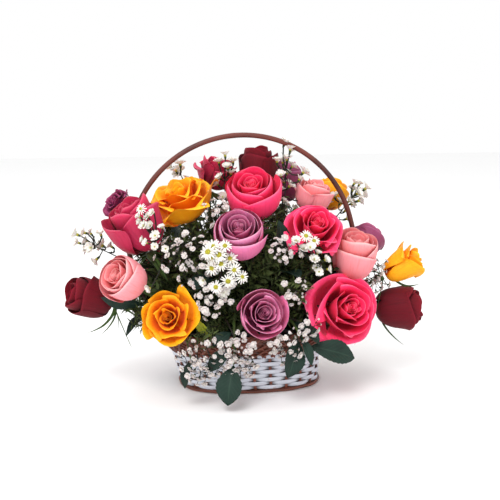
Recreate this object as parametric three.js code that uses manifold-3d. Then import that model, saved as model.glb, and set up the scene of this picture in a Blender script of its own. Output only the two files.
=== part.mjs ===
// A flower basket arrangement: roses, small white asters, baby's breath, leafy stems and fern
// standing in wet foam inside a woven oval basket with an arched cane handle.
// Millimetres, +Z up, +X to the viewer's right, -Y towards the viewer.
// The origin is the middle of the underside of the basket's base.
import * as THREE from "three";
import { mergeVertices } from "three/addons/utils/BufferGeometryUtils.js";
import Module from "manifold-3d";

const wasm = await Module();
wasm.setup();

// Driving dimensions of the basket
const GAP = 0.3;
const BASE = { half: 89, thick: 4, edge: 3, drop: 0.7, wave: 0.6, depthShare: 0.678 };
const WALL = { foot: 87, top: 95, topZ: 50, thick: 3.5, depthShare: 0.716, stakes: 28, rows: 9, relief: 1.3 };
const BORDER = {
  half: 118,
  topZ: 76,
  thick: 7,
  lip: 3,
  roll: 9,
  lap: 0.6,
  depthShare: 0.729,
  twists: 20,
  twistSlope: 0.25,
  relief: 1.2,
  lean: -8,
};
// The power of the basket's oval: 2 would be an ellipse, and more fills its corners
const OVAL_POWER = 2.5;
const LINER = { foot: 70, waist: 76, top: 96, topZ: 79, thick: 1, sides: 16 };
const FOAM = {
  foot: 66,
  top: 70,
  topZ: 88,
  bevel: 4,
  depthShare: 0.95,
  sides: 14,
  holeDepth: 26,
  holeSpare: 1.5,
  mouthSpare: 5,
  lean: 0.35,
};
const HANDLE = { radius: 141, centreZ: 169.2, thick: 6.4, sides: 5, steps: 30, arcPoints: 13 };
// Where the handle runs below its arch: how far out to each side, and how high
const HANDLE_RISE = [[79, 12], [84.5, 48], [101, 76], [125, 118]];

// Driving dimensions of the flowers
const PETAL = {
  thick: 1.6,
  columns: 2,
  innerRows: 2,
  outerRows: 3,
  edgeDrop: 0.14,
  narrowing: 0.25,
  pinwheel: 0.09,
  tilt: 0.05,
  stagger: 0.4,
};
const HEART = {
  sides: 6,
  foot: 0.34,
  waist: 0.55,
  brow: 0.8,
  browShare: 0.6,
  dip: 0.68,
  coils: 3,
  relief: 0.24,
};
const HIP = { least: 4.5, share: 0.09, widestAt: 0.8, height: 2.4 };
const SEPAL = { count: 5, share: 0.3, most: 17, droop: 30, budShare: 0.5, budDroop: 50, root: 0.7, spare: 2 };
const BLOOM_ROLL = 1.3;
const ROSE_STEM = { radius: 2.2, sides: 3, steps: 4, collar: 8, neck: 1.6, drop: 14 };
const TWIG = { radius: 0.65, sides: 3 };
const SPRAY_STEM = { radius: 1.6, sides: 3, steps: 5 };
const ASTER = { radius: 9, rays: 6, notch: 0.6, dome: 2.6 };
const BREATH = { radius: 5, rays: 3, notch: 0.62, dome: 2.6 };
const LEAF = {
  thick: 1.2,
  rows: 5,
  root: 2.5,
  stalk: 0.22,
  stalkHalf: 1.2,
  notch: 0.84,
  arch: 0.08,
  fold: 0.3,
};
const FROND = {
  thick: 1.2,
  pairs: 5,
  start: 0.35,
  ribHalf: 1.6,
  slant: 0.3,
  droop: 0.12,
  taper: 0.65,
  spare: 3,
  least: 2,
};
// How freely the small flowers are drawn round the end of their branch
const SCATTER = { attempts: 4000, rootFrom: 0.55, rootTo: 0.98, twigPull: 1.4, longestTwig: 62, heartZ: 120 };

// Room that is left between things, and how a route is bent until it has that room
const CLEAR = 0.6;
const ROUTE = {
  rounds: 120,
  smoothRounds: 80,
  smoothing: 0.12,
  ballSpare: 1,
  barSpare: 0.4,
  side: 1.5,
  top: 1.6,
};
const BASKET_ROOM = { side: 3, top: 1.5, floor: 1 };

// Finishes: colour, roughness and metalness
const COLOUR = {
  pink: 0xe83a6e,
  magenta: 0xb82a58,
  lavender: 0xbe5f94,
  mauve: 0x7d3a5a,
  yellow: 0xf79a10,
  blush: 0xe0808a,
  red: 0x7d1023,
  white: 0xece7d8,
  cream: 0xd8d2c2,
  stem: 0x4d6b35,
  leaf: 0x31503c,
  fern: 0x2c4a26,
  cane: 0x7c4a3a,
  plait: 0x6e3a2a,
  splint: 0xc6ccd2,
  black: 0x151515,
  foam: 0x2f5a3a,
};
const finish = (colour, roughness = 0.7) =>
  new THREE.MeshStandardMaterial({ color: colour, roughness, metalness: 0 });

// The shapes of a rose, in shares of its half width and of its height.
// Each petal follows a curve from the heart through its belly and shoulder to its tip.
const FORMS = {
  bud: {
    tall: 1.2,
    heart: 0.56,
    rings: [
      { petals: 3, spread: 62, belly: [0.98, 0.08], shoulder: [0.98, 0.7], tip: [0.42, 0.97] },
      { petals: 3, spread: 54, belly: [1.2, 0.0], shoulder: [1.15, 0.62], tip: [0.92, 0.9] },
    ],
  },
  globe: {
    tall: 0.9,
    heart: 0.5,
    rings: [
      { petals: 3, spread: 62, belly: [0.85, 0.06], shoulder: [0.92, 0.75], tip: [0.56, 0.98] },
      { petals: 5, spread: 46, belly: [1.2, 0.0], shoulder: [1.12, 0.6], tip: [0.86, 0.84] },
    ],
  },
  open: {
    tall: 0.72,
    heart: 0.44,
    rings: [
      { petals: 3, spread: 62, belly: [0.72, 0.08], shoulder: [0.78, 0.72], tip: [0.62, 0.98] },
      { petals: 5, spread: 46, belly: [0.98, 0.0], shoulder: [0.9, 0.72], tip: [0.96, 0.72] },
    ],
  },
  wide: {
    tall: 0.56,
    heart: 0.36,
    rings: [
      { petals: 3, spread: 62, belly: [0.6, 0.1], shoulder: [0.64, 0.7], tip: [0.6, 0.96] },
      { petals: 6, spread: 40, belly: [0.8, 0.0], shoulder: [0.84, 0.4], tip: [0.96, 0.62] },
    ],
  },
  reflexed: {
    tall: 0.8,
    heart: 0.42,
    rings: [
      { petals: 3, spread: 62, belly: [0.7, 0.08], shoulder: [0.72, 0.75], tip: [0.56, 0.98] },
      { petals: 5, spread: 42, belly: [0.9, 0.0], shoulder: [0.86, 0.95], tip: [0.96, 0.3] },
    ],
  },
};

// Each bloom: its name, its middle, the way it faces, its width across the petals, its form and its colour
const BLOOMS = [
  ["rose_yellow_low_left", [-106, -92, 108], [-0.2, -0.95, 0.35], 70, "open", "yellow"],
  ["rose_lavender_low", [1, -102, 111], [0.05, -0.9, 0.35], 60, "globe", "lavender"],
  ["rose_pink_low_right", [103, -72, 105], [0.3, -0.92, 0.36], 88, "open", "pink"],
  ["rose_red_right", [187, -22, 94], [1, -0.3, 0.05], 52, "bud", "red"],
  ["rose_red_left", [-196, -30, 119], [-0.9, -0.2, 0.35], 48, "bud", "red"],
  ["rose_blush_left", [-156, -74, 151], [-0.65, -0.55, 0.5], 56, "globe", "blush"],
  ["rose_magenta_left", [-141, -44, 210], [-0.4, -0.1, 0.9], 62, "bud", "magenta"],
  ["rose_yellow_top_left", [-83, -6, 228], [-0.4, -0.2, 0.85], 82, "wide", "yellow"],
  ["rose_magenta_top", [-37, 42, 256], [0.3, 0.1, 0.95], 50, "reflexed", "magenta"],
  ["rose_red_top", [15, 32, 265], [0.05, 0.1, 1], 47, "bud", "red"],
  ["rose_pink_top", [1, -22, 237], [-0.15, -0.5, 0.8], 64, "globe", "pink"],
  ["rose_lavender_middle", [-22, -72, 198], [-0.1, -0.75, 0.6], 60, "globe", "lavender"],
  ["rose_pink_right", [71, -56, 200], [0.05, -0.7, 0.65], 72, "open", "pink"],
  ["rose_mauve_top_right", [53, 50, 243], [0.1, 0.1, 1], 42, "bud", "mauve"],
  ["rose_blush_top_right", [81, 5, 233], [0.25, -0.1, 0.9], 48, "globe", "blush"],
  ["rose_yellow_top_right", [112, 46, 229], [0.3, 0.3, 0.85], 48, "globe", "yellow"],
  ["rose_blush_right", [124, -43, 164], [0.05, -0.36, 0.92], 54, "bud", "blush"],
  ["rose_mauve_right", [158, 34, 170], [0.5, 0.4, 0.6], 46, "globe", "mauve"],
  ["rose_yellow_bud_right", [191, -22, 146], [0.85, -0.1, 0.5], 44, "bud", "yellow"],
  ["rose_pink_back_left", [-98, 78, 140], [-0.4, 0.9, 0.4], 66, "open", "pink"],
  ["rose_lavender_back", [6, 94, 168], [0.05, 0.9, 0.5], 64, "globe", "lavender"],
  ["rose_yellow_back_right", [104, 84, 128], [0.4, 0.9, 0.3], 64, "open", "yellow"],
].map(([name, at, facing, width, form, colour]) => ({ name, at, facing, width, form, colour }));

// Each group of rose stems: the hole in the foam that it stands in and the blooms it carries
const STEM_GROUPS = [
  { name: "stems_front_left", hole: [-50, -22], carries: ["rose_yellow_low_left", "rose_blush_left"] },
  {
    name: "stems_left",
    hole: [-62, -6],
    carries: ["rose_red_left", "rose_magenta_left", "rose_yellow_top_left"],
  },
  { name: "stems_front", hole: [-12, -34], carries: ["rose_lavender_low", "rose_lavender_middle"] },
  {
    name: "stems_front_right",
    hole: [28, -28],
    carries: ["rose_pink_low_right", "rose_pink_right", "rose_blush_right"],
  },
  {
    name: "stems_right",
    hole: [46, -12],
    carries: ["rose_red_right", "rose_yellow_bud_right", "rose_mauve_right"],
  },
  { name: "stems_top", hole: [-12, -4], carries: ["rose_pink_top", "rose_red_top", "rose_magenta_top"] },
  {
    name: "stems_top_right",
    hole: [22, 4],
    carries: ["rose_blush_top_right", "rose_yellow_top_right", "rose_mauve_top_right"],
  },
  {
    name: "stems_back",
    hole: [0, 32],
    carries: ["rose_pink_back_left", "rose_lavender_back", "rose_yellow_back_right"],
  },
];

// Each leafy stem: its hole in the foam, the points it passes and its leaves, from base to tip
const LEAFY_STEMS = [
  {
    name: "leaves_front_left",
    hole: [-26, -32],
    through: [[-28, -74, 99], [-32, -102, 84], [-32, -106, 60]],
    leaves: [
      { from: [-32, -106, 60], to: [-42, -123, 9], half: 14 },
      { from: [-32, -103, 80], to: [-64, -110, 46], half: 8 },
      { from: [-30, -90, 94], to: [-57, -100, 74], half: 7 },
    ],
  },
  {
    name: "leaves_front_right",
    hole: [14, -34],
    through: [[36, -66, 99], [44, -100, 88]],
    leaves: [
      { from: [40, -100, 86], to: [28, -120, 38], half: 12 },
      { from: [43, -100, 86], to: [56, -121, 52], half: 6 },
      { from: [42, -92, 90], to: [110, -106, 53], half: 10 },
      { from: [36, -72, 98], to: [66, -116, 76], half: 9 },
    ],
  },
  {
    name: "leaves_left",
    hole: [-60, -18],
    through: [[-88, -34, 102], [-124, -42, 112]],
    leaves: [
      { from: [-124, -42, 112], to: [-184, -56, 126], half: 8 },
      { from: [-112, -40, 108], to: [-156, -58, 78], half: 10 },
    ],
  },
  {
    name: "leaves_middle",
    hole: [-24, -18],
    through: [[-34, -40, 118], [-46, -58, 146]],
    leaves: [
      { from: [-46, -58, 144], to: [-78, -86, 138], half: 13 },
      { from: [-36, -46, 124], to: [-44, -86, 140], half: 14 },
      { from: [-34, -40, 118], to: [-66, -74, 104], half: 12 },
    ],
  },
  {
    name: "leaves_upper",
    hole: [8, -12],
    through: [[24, -34, 130], [26, -48, 160]],
    leaves: [
      { from: [26, -48, 160], to: [27, -62, 214], half: 10 },
      { from: [25, -42, 146], to: [48, -84, 148], half: 13 },
    ],
  },
  {
    name: "leaves_back_left",
    hole: [-40, 24],
    through: [[-62, 50, 118], [-70, 66, 160]],
    leaves: [
      { from: [-70, 66, 160], to: [-92, 84, 206], half: 14 },
      { from: [-66, 58, 140], to: [-22, 84, 106], half: 12 },
      { from: [-62, 50, 118], to: [-124, 32, 98], half: 12 },
    ],
  },
  {
    name: "leaves_back_right",
    hole: [30, 26],
    through: [[52, 48, 120], [58, 66, 160]],
    leaves: [
      { from: [58, 66, 160], to: [92, 82, 198], half: 14 },
      { from: [56, 58, 140], to: [52, 104, 108], half: 13 },
      { from: [52, 48, 118], to: [110, 14, 96], half: 12 },
    ],
  },
];

// Each fern frond: its hole in the foam, the points of its rib and how long its leaflets are
const FERNS = [
  {
    name: "fern_left",
    hole: [-56, 8],
    through: [[-90, 12, 128], [-128, 20, 158], [-168, 30, 178]],
    reach: 24,
  },
  {
    name: "fern_right",
    hole: [50, 2],
    through: [[86, 24, 114], [132, 34, 118], [176, 36, 114]],
    reach: 22,
  },
  {
    name: "fern_front",
    hole: [4, -24],
    through: [[30, -52, 128], [44, -78, 142], [58, -108, 140]],
    reach: 18,
  },
  {
    name: "fern_back",
    hole: [-24, 20],
    through: [[-40, 50, 160], [-44, 68, 200], [-46, 78, 236]],
    reach: 24,
  },
];

// Each spray of small flowers: its hole in the foam, and for each branch the points it passes,
// the middle and half size of its cloud of flowers, and their number
const ASTER_SPRAYS = [
  {
    name: "asters_middle",
    hole: [-34, -8],
    seed: 11,
    branches: [
      { through: [[-40, -34, 130], [-44, -74, 158]], cloud: [-44, -98, 170], size: [24, 12, 30], count: 7 },
    ],
  },
  {
    name: "asters_right",
    hole: [20, -16],
    seed: 12,
    branches: [
      { through: [[44, -40, 120], [56, -84, 152]], cloud: [70, -98, 166], size: [26, 12, 20], count: 7 },
    ],
  },
  {
    name: "asters_top_left",
    hole: [-24, 6],
    seed: 14,
    branches: [
      { through: [[-50, 22, 170], [-72, 24, 240]], cloud: [-84, 22, 266], size: [14, 10, 12], count: 4 },
      { through: [[-22, 8, 160], [-30, 4, 230]], cloud: [-30, 8, 268], size: [14, 12, 18], count: 4 },
    ],
  },
  {
    name: "asters_far_left",
    hole: [-66, 4],
    seed: 15,
    branches: [
      {
        through: [[-104, -18, 132], [-160, -22, 166]],
        cloud: [-190, -22, 178],
        size: [24, 12, 24],
        count: 7,
      },
    ],
  },
  {
    name: "asters_top_right",
    hole: [34, -2],
    seed: 16,
    branches: [
      { through: [[40, 8, 160], [46, -2, 240]], cloud: [46, 0, 272], size: [14, 8, 32], count: 4 },
      { through: [[76, 16, 160], [124, 18, 212]], cloud: [140, 16, 232], size: [18, 12, 16], count: 4 },
    ],
  },
  {
    name: "asters_left",
    hole: [-48, -8],
    seed: 17,
    branches: [
      { through: [[-84, -40, 140], [-112, -66, 180]], cloud: [-124, -86, 204], size: [20, 12, 30], count: 5 },
    ],
  },
  {
    name: "asters_back",
    hole: [18, 22],
    seed: 19,
    branches: [
      { through: [[40, 60, 140], [48, 84, 180]], cloud: [50, 94, 196], size: [30, 14, 24], count: 5 },
    ],
  },
];
const BREATH_SPRAYS = [
  {
    name: "breath_left",
    hole: [-38, -20],
    seed: 31,
    branches: [
      { through: [[-56, -44, 130], [-76, -72, 160]], cloud: [-82, -88, 176], size: [34, 16, 28], count: 9 },
    ],
  },
  {
    name: "breath_front",
    hole: [-38, -31],
    seed: 42,
    branches: [
      { through: [[-58, -70, 102], [-70, -100, 84]], cloud: [-60, -108, 62], size: [38, 10, 26], count: 8 },
    ],
  },
  {
    name: "breath_front_right",
    hole: [0, -36],
    seed: 33,
    branches: [
      { through: [[16, -72, 98], [24, -104, 84]], cloud: [30, -112, 70], size: [22, 10, 24], count: 6 },
    ],
  },
  {
    name: "breath_right",
    hole: [-10, -23],
    seed: 34,
    branches: [
      { through: [[30, -60, 150], [30, -76, 176]], cloud: [28, -84, 184], size: [18, 14, 16], count: 6 },
    ],
  },
  {
    name: "breath_far_right",
    hole: [40, -22],
    seed: 35,
    branches: [
      { through: [[96, -24, 118], [138, -34, 124]], cloud: [157, -38, 128], size: [16, 14, 16], count: 5 },
    ],
  },
  {
    name: "breath_back",
    hole: [-12, 29],
    seed: 36,
    branches: [
      { through: [[-20, 56, 120], [-36, 84, 138]], cloud: [-44, 100, 134], size: [40, 14, 28], count: 6 },
    ],
  },
];

// Small helpers
const vec = ([x, y, z]) => new THREE.Vector3(x, y, z);
const radians = THREE.MathUtils.degToRad;
const mix = THREE.MathUtils.lerp;

function seededDraws(seed) {
  let state = seed * 2654435761;
  return () => {
    state = (state + 0x6d2b79f5) | 0;
    let bits = Math.imul(state ^ (state >>> 15), 1 | state);
    bits = (bits + Math.imul(bits ^ (bits >>> 7), 61 | bits)) ^ bits;
    return ((bits ^ (bits >>> 14)) >>> 0) / 4294967296;
  };
}

// Solids: a closed geometry as a solid, solids joined into one body, and a body as a named mesh
function solidOf(geometry, near = 1e-4) {
  const bare = geometry.index ? geometry.toNonIndexed() : geometry.clone();
  bare.deleteAttribute("normal");
  bare.deleteAttribute("uv");
  const merged = mergeVertices(bare, near);
  const index = merged.index.array;
  const kept = [];
  for (let i = 0; i < index.length; i += 3) {
    const [a, b, c] = [index[i], index[i + 1], index[i + 2]];
    if (a !== b && b !== c && a !== c) kept.push(a, b, c);
  }
  const solid = (triangles) =>
    new wasm.Manifold(
      new wasm.Mesh({
        numProp: 3,
        vertProperties: merged.attributes.position.array,
        triVerts: new Uint32Array(triangles),
      }),
    );
  const made = solid(kept);
  return made.volume() > 0 ? made : solid(kept.reverse());
}

const largestOf = (solid) =>
  solid.decompose().reduce((big, one) => (one.volume() > big.volume() ? one : big));

// Loose scraps and sealed hollows are left behind, also those that show once near points are merged
function joined(geometries) {
  const whole = geometries.map((geometry) => solidOf(geometry)).reduce((sum, one) => sum.add(one));
  return largestOf(solidOf(geometryOf(largestOf(whole)), 2e-3));
}

function geometryOf(solid) {
  const { vertProperties, triVerts, numProp } = solid.getMesh();
  const geometry = new THREE.BufferGeometry();
  geometry.setAttribute("position", new THREE.BufferAttribute(new Float32Array(vertProperties), numProp));
  geometry.setIndex(new THREE.BufferAttribute(new Uint32Array(triVerts), 1));
  return geometry;
}

function meshOf(name, solid, material) {
  const geometry = geometryOf(solid);
  geometry.computeVertexNormals();
  const mesh = new THREE.Mesh(geometry, material);
  mesh.name = name;
  return mesh;
}

// A thin closed blade that is thickest in its middle; place(u, v) is its middle surface,
// with u from -1 to 1 across it and v from 0 to 1 along it. Both faces are split alike.
function blade(columns, rows, thickness, place) {
  const grid = new THREE.PlaneGeometry(2, 1, columns, rows);
  const at = grid.attributes.position;
  const front = [];
  const back = [];
  const step = 1e-3;
  for (let i = 0; i < at.count; i++) {
    const u = at.getX(i);
    const v = at.getY(i) + 0.5;
    const middle = place(u, v);
    const rim = Math.abs(u) > 1 - step || v < step || v > 1 - step;
    const across = place(u + step, v).sub(place(u - step, v));
    const along = place(u, v + step).sub(place(u, v - step));
    const lift = across.cross(along).setLength(rim ? 0 : thickness / 2);
    front.push(...middle.clone().add(lift).toArray());
    back.push(...middle.clone().sub(lift).toArray());
  }
  const index = [...grid.index.array];
  const geometry = new THREE.BufferGeometry();
  geometry.setAttribute("position", new THREE.Float32BufferAttribute([...front, ...back], 3));
  geometry.setIndex([...index, ...index.map((n) => n + at.count).reverse()]);
  return geometry;
}

// A line straight from point to point, so that a rod along it passes through every point
class BentLine extends THREE.Curve {
  constructor(points) {
    super();
    this.points = points;
  }

  getPoint(share) {
    const place = THREE.MathUtils.clamp(share, 0, 1) * (this.points.length - 1);
    const start = Math.min(Math.floor(place), this.points.length - 2);
    return this.points[start].clone().lerp(this.points[start + 1], place - start);
  }

  getUtoTmapping(share) {
    return share;
  }
}

function rod(points, radius, sides) {
  const corners = Array.from({ length: sides }, (_, k) => {
    const angle = (2 * Math.PI * k) / sides;
    return new THREE.Vector2(radius * Math.cos(angle), radius * Math.sin(angle));
  });
  const options = { steps: points.length - 1, bevelEnabled: false, extrudePath: new BentLine(points) };
  return new THREE.ExtrudeGeometry(new THREE.Shape(corners), options);
}

// Room taken by what is already placed: balls for blooms and flowers, bars for stems and twigs
const room = { balls: [], bars: [] };
const takeBall = (centre, radius, owner) => room.balls.push({ centre: centre.clone(), radius, owner });
const takeBar = (from, to, radius, owner) =>
  room.bars.push({ line: new THREE.Line3(from, to), radius, owner });

function takePath(points, radius, owner) {
  for (let i = 1; i < points.length; i++) takeBar(points[i - 1].clone(), points[i].clone(), radius, owner);
}

// How far a ball of this radius is from the nearest thing of another owner
function clearance(point, radius, owners = []) {
  let least = Infinity;
  const near = new THREE.Vector3();
  for (const ball of room.balls) {
    if (!owners.includes(ball.owner)) {
      least = Math.min(least, point.distanceTo(ball.centre) - ball.radius - radius);
    }
  }
  for (const bar of room.bars) {
    if (!owners.includes(bar.owner)) {
      bar.line.closestPointToPoint(point, true, near);
      least = Math.min(least, point.distanceTo(near) - bar.radius - radius);
    }
  }
  return least;
}

function barIsClear(from, to, radius, owners = []) {
  const samples = Math.max(2, Math.ceil(from.distanceTo(to) / 2));
  for (let i = 0; i <= samples; i++) {
    const point = from.clone().lerp(to, i / samples);
    if (clearance(point, radius, owners) < CLEAR || basketDepth(point, radius) > 0) return false;
  }
  return true;
}

// Above zero where a ball of this radius would touch the basket, the foam or the surface below
function basketDepth(point, radius) {
  const { side, top, floor } = BASKET_ROOM;
  const depth = BORDER.half * BORDER.depthShare;
  const across = Math.hypot((point.x - BORDER.lean) / (BORDER.half + side), point.y / (depth + side));
  const overTop = FOAM.topZ + radius + top - point.z;
  const outside = (1 - across) * depth + radius;
  return Math.max(Math.min(overTop, outside), radius + floor - point.z);
}

function pushed(point, radius, owners) {
  const away = new THREE.Vector3();
  for (const ball of room.balls) {
    if (owners.includes(ball.owner)) continue;
    const need = ball.radius + radius + CLEAR + ROUTE.ballSpare;
    away.subVectors(point, ball.centre);
    const apart = away.length();
    if (apart < need) point.addScaledVector(away.normalize(), need - apart);
  }
  for (const bar of room.bars) {
    if (owners.includes(bar.owner)) continue;
    const near = bar.line.closestPointToPoint(point, true, new THREE.Vector3());
    const need = bar.radius + radius + CLEAR + ROUTE.barSpare;
    away.subVectors(point, near);
    const apart = away.length();
    if (apart < need) point.addScaledVector(away.normalize(), need - apart);
  }
  if (basketDepth(point, radius) > 0) {
    const depth = BORDER.half * BORDER.depthShare;
    const across = Math.hypot((point.x - BORDER.lean) / BORDER.half, point.y / depth);
    if (across < 1) point.z = Math.max(point.z, FOAM.topZ + radius + ROUTE.top);
    else point.y += Math.sign(point.y) * ROUTE.side;
  }
}

// A route through these points, bent clear of what is already placed; its ends stay put
function bentClear(points, radius, owners, count) {
  const route = new THREE.CatmullRomCurve3(points).getSpacedPoints(count);
  const last = route.length - 1;
  for (let round = 0; round < ROUTE.rounds; round++) {
    for (let i = 1; i < last; i++) {
      const middle = route[i - 1].clone().add(route[i + 1]).multiplyScalar(0.5);
      if (round < ROUTE.smoothRounds) route[i].lerp(middle, ROUTE.smoothing);
      pushed(route[i], radius, owners);
    }
    for (let i = 0; i < last; i++) {
      for (const share of [0.25, 0.5, 0.75]) {
        const between = route[i].clone().lerp(route[i + 1], share);
        const moved = between.clone();
        pushed(moved, radius, owners);
        const shift = moved.sub(between);
        if (i > 0) route[i].add(shift);
        if (i + 1 < last) route[i + 1].add(shift);
      }
    }
  }
  return route;
}

// The basket: an oval whose depth share and sideways lean change with height
const shareAt = (z) =>
  z < WALL.topZ
    ? mix(BASE.depthShare, WALL.depthShare, z / WALL.topZ)
    : mix(WALL.depthShare, BORDER.depthShare, Math.min(1, (z - WALL.topZ) / (BORDER.topZ - WALL.topZ)));
const leanAt = (z) => BORDER.lean * Math.min(1, z / BORDER.topZ);
const wallHalf = (z) => mix(WALL.foot, WALL.top, z / WALL.topZ);
const ovalNorm = (x, y) => (Math.abs(x) ** OVAL_POWER + Math.abs(y) ** OVAL_POWER) ** (1 / OVAL_POWER);

function ovalLathe(profile, sides, relief = () => [0, 0]) {
  const points = profile.map(([radius, z]) => new THREE.Vector2(radius, z));
  const geometry = new THREE.LatheGeometry(points, sides).rotateX(Math.PI / 2);
  const at = geometry.attributes.position;
  for (let i = 0; i < at.count; i++) {
    const [x, y, z] = [at.getX(i), at.getY(i), at.getZ(i)];
    const radius = Math.hypot(x, y);
    const [out, up] = relief(Math.atan2(y, x), radius, z);
    const grown = radius > 0 ? (radius + out) / ovalNorm(x, y) : 1;
    at.setXYZ(i, x * grown + leanAt(z), y * grown * shareAt(z), z + up);
  }
  return geometry;
}

function basketBase() {
  const { half, thick, edge, drop } = BASE;
  const profile = [[0, 0], [half, 0], [half, thick - drop], [half - edge, thick], [0, thick]];
  const wave = (angle, radius, z) => {
    const onRim = radius > half - 1 && z > thick / 2;
    return [0, onRim ? BASE.wave * Math.cos((angle * WALL.stakes) / 2) : 0];
  };
  return solidOf(ovalLathe(profile, WALL.stakes, wave));
}

function basketWall() {
  const bottom = BASE.thick + BASE.wave + GAP / 3;
  const rowTall = (WALL.topZ - bottom) / WALL.rows;
  const outer = [[wallHalf(bottom), bottom]];
  for (let row = 0; row < WALL.rows; row++) {
    const z = bottom + (row + 0.5) * rowTall;
    outer.push([wallHalf(z), z]);
  }
  outer.push([WALL.top, WALL.topZ]);
  const inner = [[WALL.top - WALL.thick, WALL.topZ], [wallHalf(bottom) - WALL.thick, bottom], outer[0]];
  const overUnder = (angle, radius, z) => {
    const row = (z - bottom) / rowTall - 0.5;
    const onFace = radius > wallHalf(z) - 1 && row > -0.1 && row < WALL.rows - 0.9;
    return [onFace ? WALL.relief * Math.cos((angle * WALL.stakes) / 2) * Math.cos(Math.PI * row) : 0, 0];
  };
  return solidOf(ovalLathe([...outer, ...inner], WALL.stakes, overUnder));
}

function basketBorder() {
  const low = WALL.topZ + GAP;
  const { half, topZ, thick, lip, roll, lap, relief } = BORDER;
  const seat = WALL.top - WALL.thick + lap;
  const profile = [
    [seat, low],
    [WALL.top + lip - 1, low],
    [half - lip, topZ - roll],
    [half - 1, topZ],
    [half - thick, topZ - 1],
    [seat, low],
  ];
  const twist = (angle, radius, z) => {
    const turn = Math.cos(angle * BORDER.twists + (z - low) * BORDER.twistSlope);
    const outer = radius > half - lip - 1;
    return [outer ? relief * (turn - 0.5) : 0, z > topZ - lip ? relief * turn : 0];
  };
  return solidOf(ovalLathe(profile, 2 * BORDER.twists, twist));
}

function linerShell() {
  const low = BASE.thick + GAP;
  const { foot, waist, top, topZ, thick } = LINER;
  const outer = [[0, low], [foot, low], [waist, WALL.topZ], [top, topZ]];
  const inner = [
    [top - thick, topZ],
    [waist - thick, WALL.topZ],
    [foot - thick, low + thick],
    [0, low + thick],
  ];
  return solidOf(ovalLathe([...outer, ...inner], LINER.sides));
}

function foamBlock(holes) {
  const low = BASE.thick + LINER.thick + 2 * GAP;
  const { foot, top, topZ, bevel, depthShare, holeDepth, mouthSpare } = FOAM;
  const profile = [[0, low], [foot, low], [top, topZ - bevel], [top - bevel, topZ], [0, topZ]];
  let block = solidOf(ovalLathe(profile, FOAM.sides).scale(1, depthShare, 1));
  for (const { mouth, lean, radius } of holes) {
    const end = mouth.clone().addScaledVector(lean, -holeDepth);
    const opening = mouth.clone().addScaledVector(lean, mouthSpare);
    block = block.subtract(solidOf(rod([end, opening], radius + 2 * GAP, ROSE_STEM.sides)));
  }
  return block;
}

// The handle's own line, from its left foot over the arch to its right foot
function handleLine() {
  const { radius, centreZ, arcPoints, steps } = HANDLE;
  const left = HANDLE_RISE.map(([half, z]) => vec([leanAt(z) - half, 0, z]));
  const right = HANDLE_RISE.map(([half, z]) => vec([leanAt(z) + half, 0, z])).reverse();
  const arch = Array.from({ length: arcPoints }, (_, k) => {
    const angle = (Math.PI * k) / (arcPoints - 1);
    return vec([BORDER.lean - radius * Math.cos(angle), 0, centreZ + radius * Math.sin(angle)]);
  });
  return new THREE.CatmullRomCurve3([...left, ...arch, ...right]).getSpacedPoints(steps);
}

// Roses
const facingTurn = (facing, roll) =>
  new THREE.Quaternion()
    .setFromUnitVectors(vec([0, 0, 1]), facing)
    .multiply(new THREE.Quaternion().setFromAxisAngle(vec([0, 0, 1]), roll));

function petal({ spread, belly, shoulder, tip }, rows, half, tall, azimuth) {
  const scaled = ([radius, z]) => new THREE.Vector2(radius * half, z * tall);
  const rib = new THREE.CubicBezierCurve(scaled([0.06, 0.07]), scaled(belly), scaled(shoulder), scaled(tip));
  return blade(PETAL.columns, rows, PETAL.thick, (u, v) => {
    const share = THREE.MathUtils.clamp(v * (1 - PETAL.edgeDrop * u * u * v), 0, 1);
    const { x: radius, y: z } = rib.getPoint(share);
    const width = Math.sqrt(Math.sin((Math.PI / 2) * Math.max(v, 0))) * (1 - PETAL.narrowing * v ** 4);
    const angle = azimuth + radians(spread) * u * width;
    const out = radius * (1 + PETAL.pinwheel * u);
    const rise = PETAL.tilt * half * (1 - u) * (1 - v);
    return new THREE.Vector3(out * Math.cos(angle), out * Math.sin(angle), z + rise);
  });
}

// The heart of a rose: rolled petals as a spiral relief on a flat-bottomed egg
function roseHeart(half, tall, share) {
  const { sides, foot, waist, brow, browShare, dip, coils, relief } = HEART;
  const profile = [[0, 0], [foot, 0], [share, waist], [share * browShare, brow], [0, dip]];
  const points = profile.map(([radius, z]) => new THREE.Vector2(radius * half, z * tall));
  const geometry = new THREE.LatheGeometry(points, sides).rotateX(Math.PI / 2);
  const at = geometry.attributes.position;
  const round = 2 * Math.PI;
  for (let i = 0; i < at.count; i++) {
    const [x, y, z] = [at.getX(i), at.getY(i), at.getZ(i)];
    const turn = (((Math.atan2(y, x) + round) / round) * coils + z / tall) % 1;
    const grown = z > 0 ? 1 + relief * (turn - 0.6) : 1;
    at.setXYZ(i, x * grown, y * grown, z + (z > waist * tall ? (relief / 4) * tall * turn : 0));
  }
  return geometry;
}

function roseBloom({ width, form }) {
  const { tall, heart, rings } = FORMS[form];
  const half = width / 2;
  const pieces = [roseHeart(half, tall * width, heart)];
  rings.forEach((ring, r) => {
    const rows = r ? PETAL.outerRows : PETAL.innerRows;
    for (let k = 0; k < ring.petals; k++) {
      const azimuth = (2 * Math.PI * (k + PETAL.stagger * r)) / ring.petals;
      pieces.push(petal(ring, rows, half, tall * width, azimuth));
    }
  });
  // the widest petal sets the bloom's width
  let widest = 0;
  for (const { attributes } of pieces) {
    const at = attributes.position;
    for (let i = 0; i < at.count; i++) widest = Math.max(widest, Math.hypot(at.getX(i), at.getY(i)));
  }
  const grow = half / widest;
  return joined(pieces.map((piece) => piece.scale(grow, grow, 1)));
}

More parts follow.
